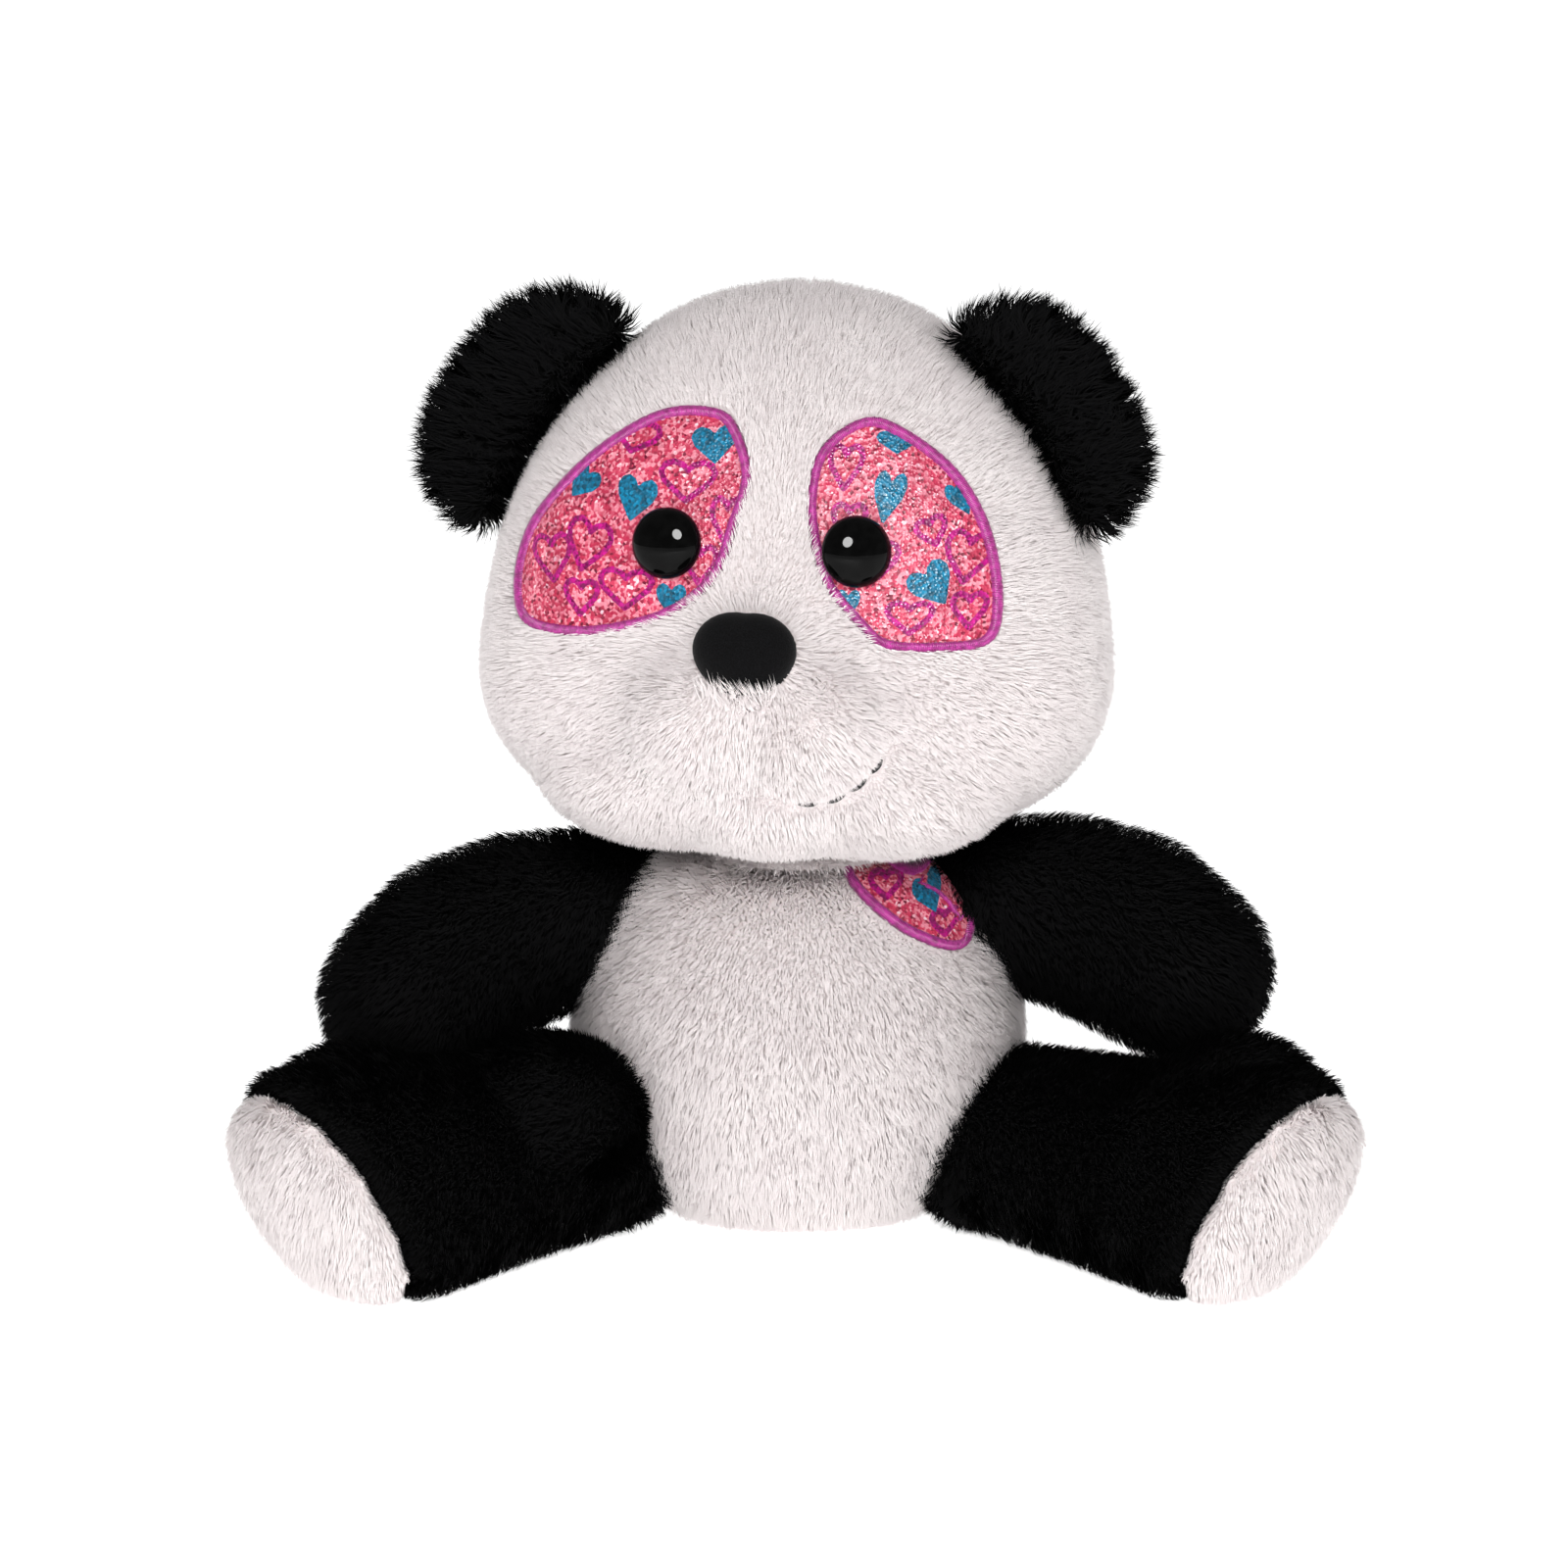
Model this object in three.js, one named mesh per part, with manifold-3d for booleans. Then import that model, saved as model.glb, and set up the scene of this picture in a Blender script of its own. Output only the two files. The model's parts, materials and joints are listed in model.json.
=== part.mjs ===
// A seated plush panda, 250 mm tall, as the sewn toy is put together: cloth covers in two halves around a
// fibre filling, safety eyes and a nose held by washers, sewn-on patches, and a bag of pellets in the seat.
// Millimetres, +Z up. The toy faces -Y, and "left" and "right" are the toy's own, so its left is on +X.
import * as THREE from "three";
import { mergeVertices } from "three/addons/utils/BufferGeometryUtils.js";
import Module from "manifold-3d";

const wasm = await Module();
wasm.setup();

const GAP = 0.3; // between pieces that touch
const CLOTH = 2.5; // a cover's cloth with its pile pressed flat
const APPLIQUE = 1.2; // a glitter patch's cloth
const FAR = 400; // longer than the toy, for blocks that cut it
const SIDES = 20; // facets round the head and the torso
const LIMB_SIDES = 12;
const BALL_SIDES = 14;
const Z = new THREE.Vector3(0, 0, 1);
const FORWARD = new THREE.Vector3(0, -1, 0);

const COLOURS = {
  whitePlush: { color: 0xf2ecec, roughness: 0.95, metalness: 0 },
  blackPlush: { color: 0x050506, roughness: 0.95, metalness: 0 },
  glitterCloth: { color: 0xe8607f, roughness: 0.45, metalness: 0.1 },
  blackPlastic: { color: 0x040404, roughness: 0.12, metalness: 0 },
  blackFlock: { color: 0x060606, roughness: 0.85, metalness: 0 },
  washerPlastic: { color: 0xe8e8e4, roughness: 0.5, metalness: 0 },
  filling: { color: 0xfafafa, roughness: 1, metalness: 0 },
  pelletCloth: { color: 0xe6e2da, roughness: 0.9, metalness: 0 },
  blackThread: { color: 0x080808, roughness: 0.8, metalness: 0 },
};

// A round form turned about Z: outline holds [half width, height], bottom to top; the plan is a superellipse.
const TORSO = {
  outline: [[0, 0], [20, 0], [32, 4], [48, 21], [57, 42], [55, 62], [48, 79], [37, 92], [26, 99], [0, 102]],
  depthShare: 0.91,
  squareness: 2.4,
};
const HEAD = {
  outline: [
    [0, 3.5], [26, 3], [46, 5.5], [60, 10], [74, 22], [80, 38], [78.5, 56],
    [75, 75], [68, 93], [56, 111], [39, 127], [22, 136], [0, 140.5],
  ],
  depthShare: 0.76,
  squareness: 2.6,
};
const TORSO_AT = new THREE.Vector3(3, -2, 0);
const NECK_AT = new THREE.Vector3(1.5, -8, 106); // the head's own origin, where it pivots
const HEAD_TURN = THREE.MathUtils.degToRad(-10);
const HEAD_ROLL = THREE.MathUtils.degToRad(1.5);
const NECK_RING = { radius: 20, bottom: -3.3, top: -1.6 };
const SEAT_CLOTH = 1.2;

// ---- solids ----

// A closed three.js geometry as a solid that can be joined and cut.
function solid(geometry) {
  const bare = new THREE.BufferGeometry();
  bare.setAttribute("position", geometry.getAttribute("position"));
  bare.setIndex(geometry.getIndex());
  const merged = mergeVertices(bare, 1e-3);
  const corners = [];
  const index = merged.getIndex().array;
  for (let i = 0; i < index.length; i += 3) {
    const [a, b, c] = index.slice(i, i + 3);
    if (a !== b && b !== c && c !== a) corners.push(a, b, c);
  }
  const vertProperties = merged.getAttribute("position").array;
  const mesh = new wasm.Mesh({ numProp: 3, vertProperties, triVerts: new Uint32Array(corners) });
  return new wasm.Manifold(mesh);
}

// A solid's surface as a geometry again.
function geometryOf(shape) {
  const mesh = shape.getMesh();
  const geometry = new THREE.BufferGeometry();
  geometry.setAttribute("position", new THREE.BufferAttribute(mesh.vertProperties, 3));
  geometry.setIndex(new THREE.BufferAttribute(mesh.triVerts, 1));
  const faceted = geometry.toNonIndexed();
  faceted.computeVertexNormals();
  return faceted;
}

// A wide block that fills everything more than `start` beyond `point` in the direction `normal`.
function beyond(point, normal, start = 0) {
  const block = new THREE.BoxGeometry(2 * FAR, 2 * FAR, FAR);
  block.translate(0, 0, FAR / 2 + start);
  block.applyQuaternion(new THREE.Quaternion().setFromUnitVectors(Z, normal.clone().normalize()));
  return solid(block.translate(point.x, point.y, point.z));
}

function carve(shape, holes) {
  return holes.reduce((left, hole) => left.subtract(hole), shape);
}

// The two halves of a shape on either side of a seam plane, with a gap between them.
function halves(shape, point, normal) {
  const back = normal.clone().negate();
  return [
    shape.intersect(beyond(point, normal, GAP / 2)),
    shape.intersect(beyond(point, back, GAP / 2)),
  ];
}

// A round bar from `point` along `direction`.
function bar(point, direction, radius, length, endRadius = radius) {
  const rod = new THREE.CylinderGeometry(endRadius, radius, length, LIMB_SIDES);
  rod.rotateX(Math.PI / 2).translate(0, 0, length / 2);
  rod.applyQuaternion(new THREE.Quaternion().setFromUnitVectors(Z, direction.clone().normalize()));
  return solid(rod.translate(point.x, point.y, point.z));
}

function ellipsoid(centre, halfSizes) {
  const ball = new THREE.SphereGeometry(1, BALL_SIDES, BALL_SIDES / 2);
  ball.rotateX(Math.PI / 2).scale(...halfSizes);
  return solid(ball.translate(...centre));
}

// ---- round forms: the torso and the head ----

function superellipse(cosine, power) {
  return Math.sign(cosine) * Math.abs(cosine) ** (2 / power);
}

// A form grown or shrunk by `grow` on every side.
function roundForm(form, grow = 0) {
  const heights = form.outline.map(([, height]) => height);
  const widest = Math.max(...form.outline.map(([half]) => half));
  const middle = (heights[0] + heights.at(-1)) / 2;
  const tall = (heights.at(-1) - heights[0]) / 2;
  const profile = form.outline.map(([half, height]) => new THREE.Vector2(half, height));
  const lathe = new THREE.LatheGeometry(profile, SIDES);
  const places = lathe.getAttribute("position");
  const turns = lathe.getAttribute("uv");
  for (let i = 0; i < places.count; i++) {
    const half = form.outline[i % form.outline.length][0];
    const angle = 2 * Math.PI * turns.getX(i);
    const across = half * superellipse(Math.cos(angle), form.squareness);
    const deep = half * form.depthShare * superellipse(Math.sin(angle), form.squareness);
    const height = middle + (places.getY(i) - middle) * (1 + grow / tall);
    places.setXYZ(
      i,
      across * (1 + grow / widest),
      deep * (1 + grow / (widest * form.depthShare)),
      height,
    );
  }
  return solid(lathe);
}

// A form's half width at a height above its widest point or below it.
function halfWidthAt(form, height) {
  for (let i = 1; i < form.outline.length; i++) {
    const [lowHalf, low] = form.outline[i - 1];
    const [highHalf, high] = form.outline[i];
    if (height >= low && height <= high && high > low)
      return THREE.MathUtils.mapLinear(height, low, high, lowHalf, highHalf);
  }
  return 0;
}

// The point on a form's front surface at (x, z).
function onFront(form, x, z) {
  const half = halfWidthAt(form, z);
  const share = Math.max(0, 1 - Math.abs(x / half) ** form.squareness);
  return new THREE.Vector3(x, -half * form.depthShare * share ** (1 / form.squareness), z);
}

// ---- stuffed limbs ----

// Cross-sections strung from the limb's root to its tip, with a round root about the pivot and a domed tip.
// `sizes` holds [half height, half width] at even steps. The sections turn from the first aim to the last.
function limbForm(limb, inset = 0) {
  const curve = new THREE.CatmullRomCurve3(limb.path);
  const sections = [];
  const root = limb.sizes[0][0] - inset;
  const dome = limb.dome - inset;
  for (const angle of [0, 30, 60]) {
    const turn = THREE.MathUtils.degToRad(angle);
    sections.push({ along: 0, ahead: -root * Math.cos(turn), scale: Math.sin(turn) });
  }
  for (let step = 0; step <= limb.sizes.length - 1; step++)
    sections.push({ along: step / (limb.sizes.length - 1), ahead: 0, scale: 1 });
  for (const angle of [30, 60, 90]) {
    const turn = THREE.MathUtils.degToRad(angle);
    sections.push({ along: 1, ahead: dome * Math.sin(turn), scale: Math.cos(turn) });
  }
  const profile = sections.map((section, i) => new THREE.Vector2(section.scale, i));
  const lathe = new THREE.LatheGeometry(profile, LIMB_SIDES);
  const places = lathe.getAttribute("position");
  const turns = lathe.getAttribute("uv");
  for (let i = 0; i < places.count; i++) {
    const { along, ahead, scale } = sections[i % sections.length];
    const aim = limb.aims[0].clone().lerp(limb.aims[1], along ** 2).normalize();
    const side = aim.clone().cross(limb.ups[0].clone().lerp(limb.ups[1], along)).normalize();
    const up = side.clone().cross(aim);
    const [halfHeight, halfWidth] = limb.sizes[Math.round(along * (limb.sizes.length - 1))];
    const angle = 2 * Math.PI * turns.getX(i);
    const place = curve.getPoint(along);
    place.addScaledVector(aim, ahead);
    place.addScaledVector(up, scale * (halfHeight - inset) * Math.cos(angle));
    place.addScaledVector(side, scale * (halfWidth - inset) * Math.sin(angle));
    places.setXYZ(i, place.x, place.y, place.z);
  }
  return solid(lathe);
}

const mirrored = (point, side) => new THREE.Vector3(point[0] * side, point[1], point[2]);

// The arm hangs from its pivot: outwards, a little forwards, then down to the hand, just over the leg.
const ARM = {
  path: [[0, 0, 0], [24, -5, -2], [42, -14, -7], [55, -24, -16]],
  sizes: [[20, 20], [23, 21], [24.5, 21.5], [22, 21]],
  dome: 19,
  aims: [[0.96, -0.22, -0.2], [0.68, -0.45, -0.58]],
  ups: [[0.2, 0, 1], [0.6, 0, 0.8]],
  spread: 16, // degrees that the torso leaves free each way round the arm
  lifted: 14, // degrees that the middle of that room lies above the arm
};
const ARM_PIVOTS = { left: [49, -3, 85], right: [-46, -3, 82] };
const ARM_DROP = { left: 0, right: 5 }; // degrees that the arm hangs lower than its own shape

// The leg lies on the ground, splayed half outwards, with its toe up and its sole turned out and forwards.
const LEG = {
  path: [[0, 0, 0], [24, -25, 0], [44, -49, 1], [64, -70, 2]],
  sizes: [[23, 23], [25.5, 24], [29, 26], [34, 27]],
  dome: 15,
  aims: [[0.7, -0.71, 0], [0.68, -0.6, -0.42]],
  ups: [[0, 0, 1], [0.66, 0.04, 0.75]],
  spread: 12,
  lifted: 0,
};
const LEG_PIVOTS = { left: [53, -19, 24], right: [-49, -19, 24] };
const SOLE_SEAM = 1.5; // how far past the last section the sole's seam runs

function sided(limb, side) {
  return {
    ...limb,
    path: limb.path.map((point) => mirrored(point, side)),
    aims: limb.aims.map((aim) => mirrored(aim, side).normalize()),
    ups: limb.ups.map((up) => mirrored(up, side)),
  };
}

// The room a limb needs in the torso: a ball round its pivot, opening outwards as a cone.
function limbRoom(limb, pivot) {
  const play = 2.5;
  const reach = 70;
  const radius = limb.sizes[0][0] + play;
  const aim = limb.aims[0].clone();
  const axis = new THREE.Vector3().crossVectors(aim, Z).normalize();
  aim.applyAxisAngle(axis, THREE.MathUtils.degToRad(limb.lifted));
  const opening = radius + reach * Math.tan(THREE.MathUtils.degToRad(limb.spread));
  const ball = ellipsoid(pivot.toArray(), [radius, radius, radius]);
  return ball.add(bar(pivot, aim, radius, reach, opening));
}

// ---- pieces ----

const toy = new THREE.Group();

function piece(parent, name, shape, look) {
  const mesh = new THREE.Mesh(geometryOf(shape), new THREE.MeshStandardMaterial(COLOURS[look]));
  mesh.name = name;
  parent.add(mesh);
}

function group(parent, place, rotation = [0, 0, 0]) {
  const made = new THREE.Group();
  made.position.copy(place);
  made.rotation.set(...rotation, "ZYX");
  parent.add(made);
  return made;
}

// ---- torso ----

function addTorso(rooms) {
  const torso = group(toy, TORSO_AT);
  const here = TORSO_AT.clone().negate();
  const carved = rooms.map((room) => room.translate(here.x, here.y, here.z));
  const outer = roundForm(TORSO);
  const aboveSeat = beyond(new THREE.Vector3(), Z, SEAT_CLOTH + GAP);
  const cover = carve(outer.subtract(roundForm(TORSO, -CLOTH)), carved).intersect(aboveSeat);
  const [front, back] = halves(cover, new THREE.Vector3(), FORWARD);
  piece(torso, "torso_front_cover", front, "whitePlush");
  piece(torso, "torso_back_cover", back, "whitePlush");
  piece(torso, "seat_panel", outer.subtract(beyond(new THREE.Vector3(), Z, SEAT_CLOTH)), "whitePlush");

  const bagHalves = [19, 15, 12];
  const bagAt = [0, 3, 9];
  const bagFloor = CLOTH + 2 * GAP;
  const bag = ellipsoid(bagAt, bagHalves).intersect(beyond(new THREE.Vector3(), Z, bagFloor));
  const bagRoom = ellipsoid(bagAt, bagHalves.map((half) => half + GAP));
  const filling = carve(roundForm(TORSO, -CLOTH - GAP), carved)
    .intersect(beyond(new THREE.Vector3(), Z, bagFloor));
  piece(torso, "torso_stuffing", filling.subtract(bagRoom), "filling");
  piece(torso, "seat_pellet_bag", bag, "pelletCloth");
  piece(torso, "chest_heart_patch", carve(chestHeart(), carved), "glitterCloth");
}

// A cloth layer that lies on a form's front, inside an outline drawn in X and Z.
function applique(form, outline) {
  const prism = new THREE.ExtrudeGeometry(outline, { depth: FAR / 2, bevelEnabled: false, curveSegments: 5 });
  prism.rotateX(Math.PI / 2);
  const layer = roundForm(form, GAP + APPLIQUE).subtract(roundForm(form, GAP));
  return layer.intersect(solid(prism));
}

// A heart about 33 mm tall, tipped over, with its lobes tucked up under the chin.
function chestHeart() {
  const lobe = 16;
  const tip = 19;
  const lean = THREE.MathUtils.degToRad(25);
  const at = new THREE.Vector2(33, 90);
  const right = [[lobe * 0.5, -tip * 0.55], [lobe, 0], [lobe * 0.95, tip * 0.5], [lobe * 0.5, tip * 0.75]];
  const left = right.map(([x, z]) => [-x, z]).reverse();
  const points = [[0, -tip], ...right, [0, tip * 0.45], ...left];
  const turned = points.map(([x, z]) => {
    const point = new THREE.Vector2(x, z);
    return point.rotateAround(new THREE.Vector2(), lean).add(at);
  });
  return applique(TORSO, new THREE.Shape(turned));
}

// ---- head ----

const MUZZLE = { centre: [15, -44, 35], halfSizes: [22, 28, 21] };
const CHIN = { centre: [0, -40, 13], halfSizes: [29, 22, 13] };
const EYE = { at: [23, 78.5], radius: 9, height: 5.5, shank: 2.2, depth: 13, tilt: 12, splay: 10 };
const NOSE = { at: [-1.5, -70, 53.5], halfSizes: [13, 8, 10], shank: 2.4, depth: 26 };
const WASHER = { radius: 7.5, thick: 1.5, behind: 4.5 };
const EAR = {
  halfLength: { left: 30, right: 32 },
  height: { left: 25, right: 27 },
  squareness: 2.6,
  hollow: 5,
  panel: 4.6,
  at: { left: [58.5, -14, 106], right: [63, -14, 102.5] },
  lean: 55, // degrees outwards
};

// The eye patches in the head's front view, from the inner top corner round the outside, as [distance from
// the middle, height].
const EYE_PATCHES = {
  left: [
    [22, 110], [31, 108], [43, 100], [51, 90], [56, 78], [58, 65], [56, 57],
    [47, 55.2], [32, 55.6], [25, 61], [17, 70], [13, 80], [11, 92], [13, 103],
  ],
  right: [
    [15, 111], [28, 110], [42, 102], [54, 91], [63, 79], [66, 66], [63, 56.5],
    [52, 54.5], [38, 56], [22, 61.5], [11, 71], [7, 84], [4.5, 96], [9, 107],
  ],
};

// The muzzle's front surface at (x, z), whichever of its pads stands furthest forward.
function muzzleFront(x, z) {
  const pads = [
    MUZZLE,
    { ...MUZZLE, centre: [-MUZZLE.centre[0], MUZZLE.centre[1], MUZZLE.centre[2]] },
    CHIN,
  ];
  const depths = pads.map(({ centre, halfSizes }) => {
    const left = 1 - ((x - centre[0]) / halfSizes[0]) ** 2 - ((z - centre[2]) / halfSizes[2]) ** 2;
    return centre[1] - halfSizes[1] * Math.sqrt(Math.max(0, left));
  });
  return Math.min(...depths);
}

function eyePlace(side) {
  const [across, height] = EYE.at;
  const surface = onFront(HEAD, across * side, height);
  const aim = FORWARD.clone();
  aim.applyAxisAngle(new THREE.Vector3(1, 0, 0), THREE.MathUtils.degToRad(-EYE.tilt));
  aim.applyAxisAngle(Z, THREE.MathUtils.degToRad(EYE.splay) * side);
  return { surface, aim };
}

// A safety eye: a domed cap on a shank that a washer locks on, behind the cloth.
function addEye(head, name, side) {
  const { surface, aim } = eyePlace(side);
  const standOff = APPLIQUE + 3 * GAP;
  const capAt = surface.clone().addScaledVector(aim, standOff);
  const profile = [new THREE.Vector2(0, 0)];
  for (let step = 0; step <= 4; step++) {
    const turn = (step / 4) * (Math.PI / 2);
    profile.push(new THREE.Vector2(EYE.radius * Math.cos(turn), EYE.height * Math.sin(turn)));
  }
  const dome = new THREE.LatheGeometry(profile, SIDES).rotateX(Math.PI / 2);
  dome.applyQuaternion(new THREE.Quaternion().setFromUnitVectors(Z, aim));
  dome.translate(capAt.x, capAt.y, capAt.z);
  const back = aim.clone().negate();
  const shankFrom = capAt.clone().addScaledVector(aim, 1);
  piece(head, `${name}_eye`, solid(dome).add(bar(shankFrom, back, EYE.shank, EYE.depth)), "blackPlastic");
  piece(head, `${name}_eye_washer`, washer(surface, back, EYE.shank), "washerPlastic");
}

function washer(surface, back, shank) {
  const start = surface.clone().addScaledVector(back, WASHER.behind);
  return bar(start, back, WASHER.radius, WASHER.thick)
    .subtract(bar(start.clone().addScaledVector(back, -1), back, shank + GAP, WASHER.thick + 2));
}

// The nose: a flocked dome wider at the top, on a shank between the two halves of the muzzle.
function addNose(head) {
  const [, front] = NOSE.at;
  const dome = ellipsoid(NOSE.at, NOSE.halfSizes).intersect(beyond(new THREE.Vector3(0, front, 0), FORWARD));
  const start = new THREE.Vector3(...NOSE.at).add(new THREE.Vector3(0, -1, 0));
  const back = FORWARD.clone().negate();
  piece(head, "nose", dome.add(bar(start, back, NOSE.shank, NOSE.depth)), "blackFlock");
  const surface = onFront(HEAD, NOSE.at[0], NOSE.at[2]);
  piece(head, "nose_washer", washer(surface, back, NOSE.shank), "washerPlastic");
}

// Black thread along the smile, from the seam under the nose up to one corner of the mouth.
function addMouthStitch(head, name, side) {
  const thread = 0.6;
  const clear = 1.1;
  const points = [[3, 17.5], [11, 15.5], [19, 16.5], [26, 20.5], [31, 26]].map(
    ([x, z]) => new THREE.Vector3(x * side, muzzleFront(x, z) - clear, z),
  );
  const section = new THREE.Shape().absarc(0, 0, thread, 0, 2 * Math.PI);
  const path = new THREE.CatmullRomCurve3(points);
  const tube = new THREE.ExtrudeGeometry(section, { extrudePath: path, steps: 12, curveSegments: 3 });
  piece(head, `${name}_mouth_stitch`, solid(tube), "blackThread");
}

function addMuzzle(head, holes) {
  const keepOff = roundForm(HEAD, GAP);
  const pads = [1, -1].map((side) => {
    const [x, y, z] = MUZZLE.centre;
    return ellipsoid([x * side, y, z], MUZZLE.halfSizes);
  });
  const noseBed = beyond(new THREE.Vector3(0, NOSE.at[1] + GAP, 0), FORWARD)
    .intersect(bar(new THREE.Vector3(...NOSE.at), FORWARD, NOSE.halfSizes[0] + GAP, FAR / 4));
  const muzzle = carve(pads[0].add(pads[1]), [keepOff, noseBed, ...holes]);
  const [left, right] = halves(muzzle, new THREE.Vector3(), new THREE.Vector3(1, 0, 0));
  piece(head, "left_muzzle_pad", left, "whitePlush");
  piece(head, "right_muzzle_pad", right, "whitePlush");
  const padRoom = [1, -1].map((side) => {
    const [x, y, z] = MUZZLE.centre;
    return ellipsoid([x * side, y, z], MUZZLE.halfSizes.map((half) => half + GAP));
  });
  const chin = carve(ellipsoid(CHIN.centre, CHIN.halfSizes), [keepOff, ...padRoom]);
  piece(head, "chin_panel", chin, "whitePlush");
}

function addEyePatch(head, name, side) {
  const outline = EYE_PATCHES[name].map(([x, z]) => new THREE.Vector2(x * side, z));
  const { surface, aim } = eyePlace(side);
  const hole = bar(surface.clone().addScaledVector(aim, -FAR / 8), aim, EYE.shank + GAP, FAR / 4);
  piece(head, `${name}_eye_patch`, applique(HEAD, new THREE.Shape(outline)).subtract(hole), "glitterCloth");
}

// One ear: two half-round cloth panels back to back, with a hollow edge that follows the head.
function addEar(head, name, side) {
  const [x, y, z] = EAR.at[name];
  const lean = THREE.MathUtils.degToRad(EAR.lean) * side;
  const ear = group(head, new THREE.Vector3(x * side, y, z), [0, lean, 0]);
  const halfLength = EAR.halfLength[name];
  const outline = new THREE.Shape();
  outline.moveTo(halfLength, 0);
  const steps = 14;
  for (let step = 1; step <= steps; step++) {
    const angle = (step / steps) * Math.PI;
    const across = halfLength * superellipse(Math.cos(angle), EAR.squareness);
    outline.lineTo(across, EAR.height[name] * superellipse(Math.sin(angle), EAR.squareness));
  }
  outline.quadraticCurveTo(0, 2 * EAR.hollow, halfLength, 0);
  const bevel = 1.2;
  const cut = {
    depth: EAR.panel - 2 * bevel,
    bevelThickness: bevel,
    bevelSize: bevel,
    bevelOffset: -bevel,
    bevelSegments: 1,
    curveSegments: 10,
  };
  const slab = new THREE.ExtrudeGeometry(outline, cut).rotateX(Math.PI / 2);
  const panel = solid(slab.translate(0, -bevel - GAP / 2, 0));
  piece(ear, `${name}_ear_front`, panel, "blackPlush");
  piece(ear, `${name}_ear_back`, panel.mirror([0, 1, 0]), "blackPlush");
}

function addHead() {
  const turn = group(toy, NECK_AT, [0, 0, HEAD_TURN]);
  const { radius, bottom, top } = NECK_RING;
  const ring = new THREE.CylinderGeometry(radius, radius, top - bottom, SIDES);
  ring.rotateX(Math.PI / 2).translate(0, 0, (top + bottom) / 2);
  const bore = bar(new THREE.Vector3(0, 0, -FAR / 8), Z, radius - 2 * CLOTH, FAR / 4);
  piece(turn, "neck_seam_ring", solid(ring).subtract(bore), "whitePlush");

  const head = group(turn, new THREE.Vector3(), [0, HEAD_ROLL, 0]);
  const eyes = [1, -1].map(eyePlace);
  const eyeHoles = eyes.map(({ surface, aim }) => {
    const start = surface.clone().addScaledVector(aim, -WASHER.behind);
    return bar(start, aim, EYE.shank + GAP, FAR / 8);
  });
  const noseStart = onFront(HEAD, NOSE.at[0], NOSE.at[2]).add(new THREE.Vector3(0, WASHER.behind, 0));
  const noseHole = bar(noseStart, FORWARD, NOSE.shank + GAP, FAR / 8);
  const cover = carve(roundForm(HEAD).subtract(roundForm(HEAD, -CLOTH)), [...eyeHoles, noseHole]);
  const [face, back] = halves(cover, new THREE.Vector3(0, EAR.at.left[1], 0), FORWARD);
  piece(head, "face_cover", face, "whitePlush");
  piece(head, "head_back_cover", back, "whitePlush");

  const pockets = eyes.map(({ surface, aim }) => {
    const deep = EYE.depth + GAP;
    return bar(surface.clone().addScaledVector(aim, -deep), aim, WASHER.radius + GAP, FAR / 8);
  });
  const noseEnd = new THREE.Vector3(NOSE.at[0], NOSE.at[1] - 1 + NOSE.depth + GAP, NOSE.at[2]);
  pockets.push(bar(noseEnd, FORWARD, WASHER.radius + GAP, FAR / 8));
  const filling = carve(roundForm(HEAD, -CLOTH - GAP), pockets);
  piece(head, "head_stuffing", filling, "filling");

  addMuzzle(head, [noseHole]);
  addNose(head);
  for (const [name, side] of [["left", 1], ["right", -1]]) {
    addEye(head, name, side);
    addEyePatch(head, name, side);
    addMouthStitch(head, name, side);
    addEar(head, name, side);
  }
}

// ---- limbs ----

function addArm(name, limb) {
  const pivot = new THREE.Vector3(...ARM_PIVOTS[name]);
  const arm = group(toy, pivot);
  const seam = new THREE.Vector3().crossVectors(limb.aims[0], Z);
  seam.multiplyScalar(Math.sign(-seam.y));
  const [front, back] = halves(limbForm(limb).subtract(limbForm(limb, CLOTH)), new THREE.Vector3(), seam);
  piece(arm, `${name}_arm_front_cover`, front, "blackPlush");
  piece(arm, `${name}_arm_back_cover`, back, "blackPlush");
  piece(arm, `${name}_arm_stuffing`, limbForm(limb, CLOTH + GAP), "filling");
}

function addLeg(name, limb) {
  const pivot = new THREE.Vector3(...LEG_PIVOTS[name]);
  const leg = group(toy, pivot);
  const ground = (height) => beyond(new THREE.Vector3(0, 0, -pivot.z), Z, height);
  const tip = limb.path.at(-1);
  const soleAim = limb.aims[1];
  const outer = limbForm(limb).intersect(ground(0));
  const hollow = limbForm(limb, CLOTH).intersect(ground(CLOTH));
  const pastSole = beyond(tip, soleAim, SOLE_SEAM);
  const cover = outer.subtract(hollow).subtract(pastSole);
  const across = new THREE.Vector3().crossVectors(Z, limb.aims[0]);
  across.multiplyScalar(Math.sign(across.x) * Math.sign(pivot.x));
  const [one, other] = halves(cover, new THREE.Vector3(), across);
  piece(leg, `${name}_leg_outer_cover`, one, "blackPlush");
  piece(leg, `${name}_leg_inner_cover`, other, "blackPlush");
  const filling = limbForm(limb, CLOTH + GAP).intersect(ground(CLOTH + GAP)).subtract(pastSole);
  piece(leg, `${name}_leg_stuffing`, filling, "filling");
  piece(leg, `${name}_sole_pad`, outer.intersect(beyond(tip, soleAim, SOLE_SEAM + GAP)), "whitePlush");
}

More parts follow.
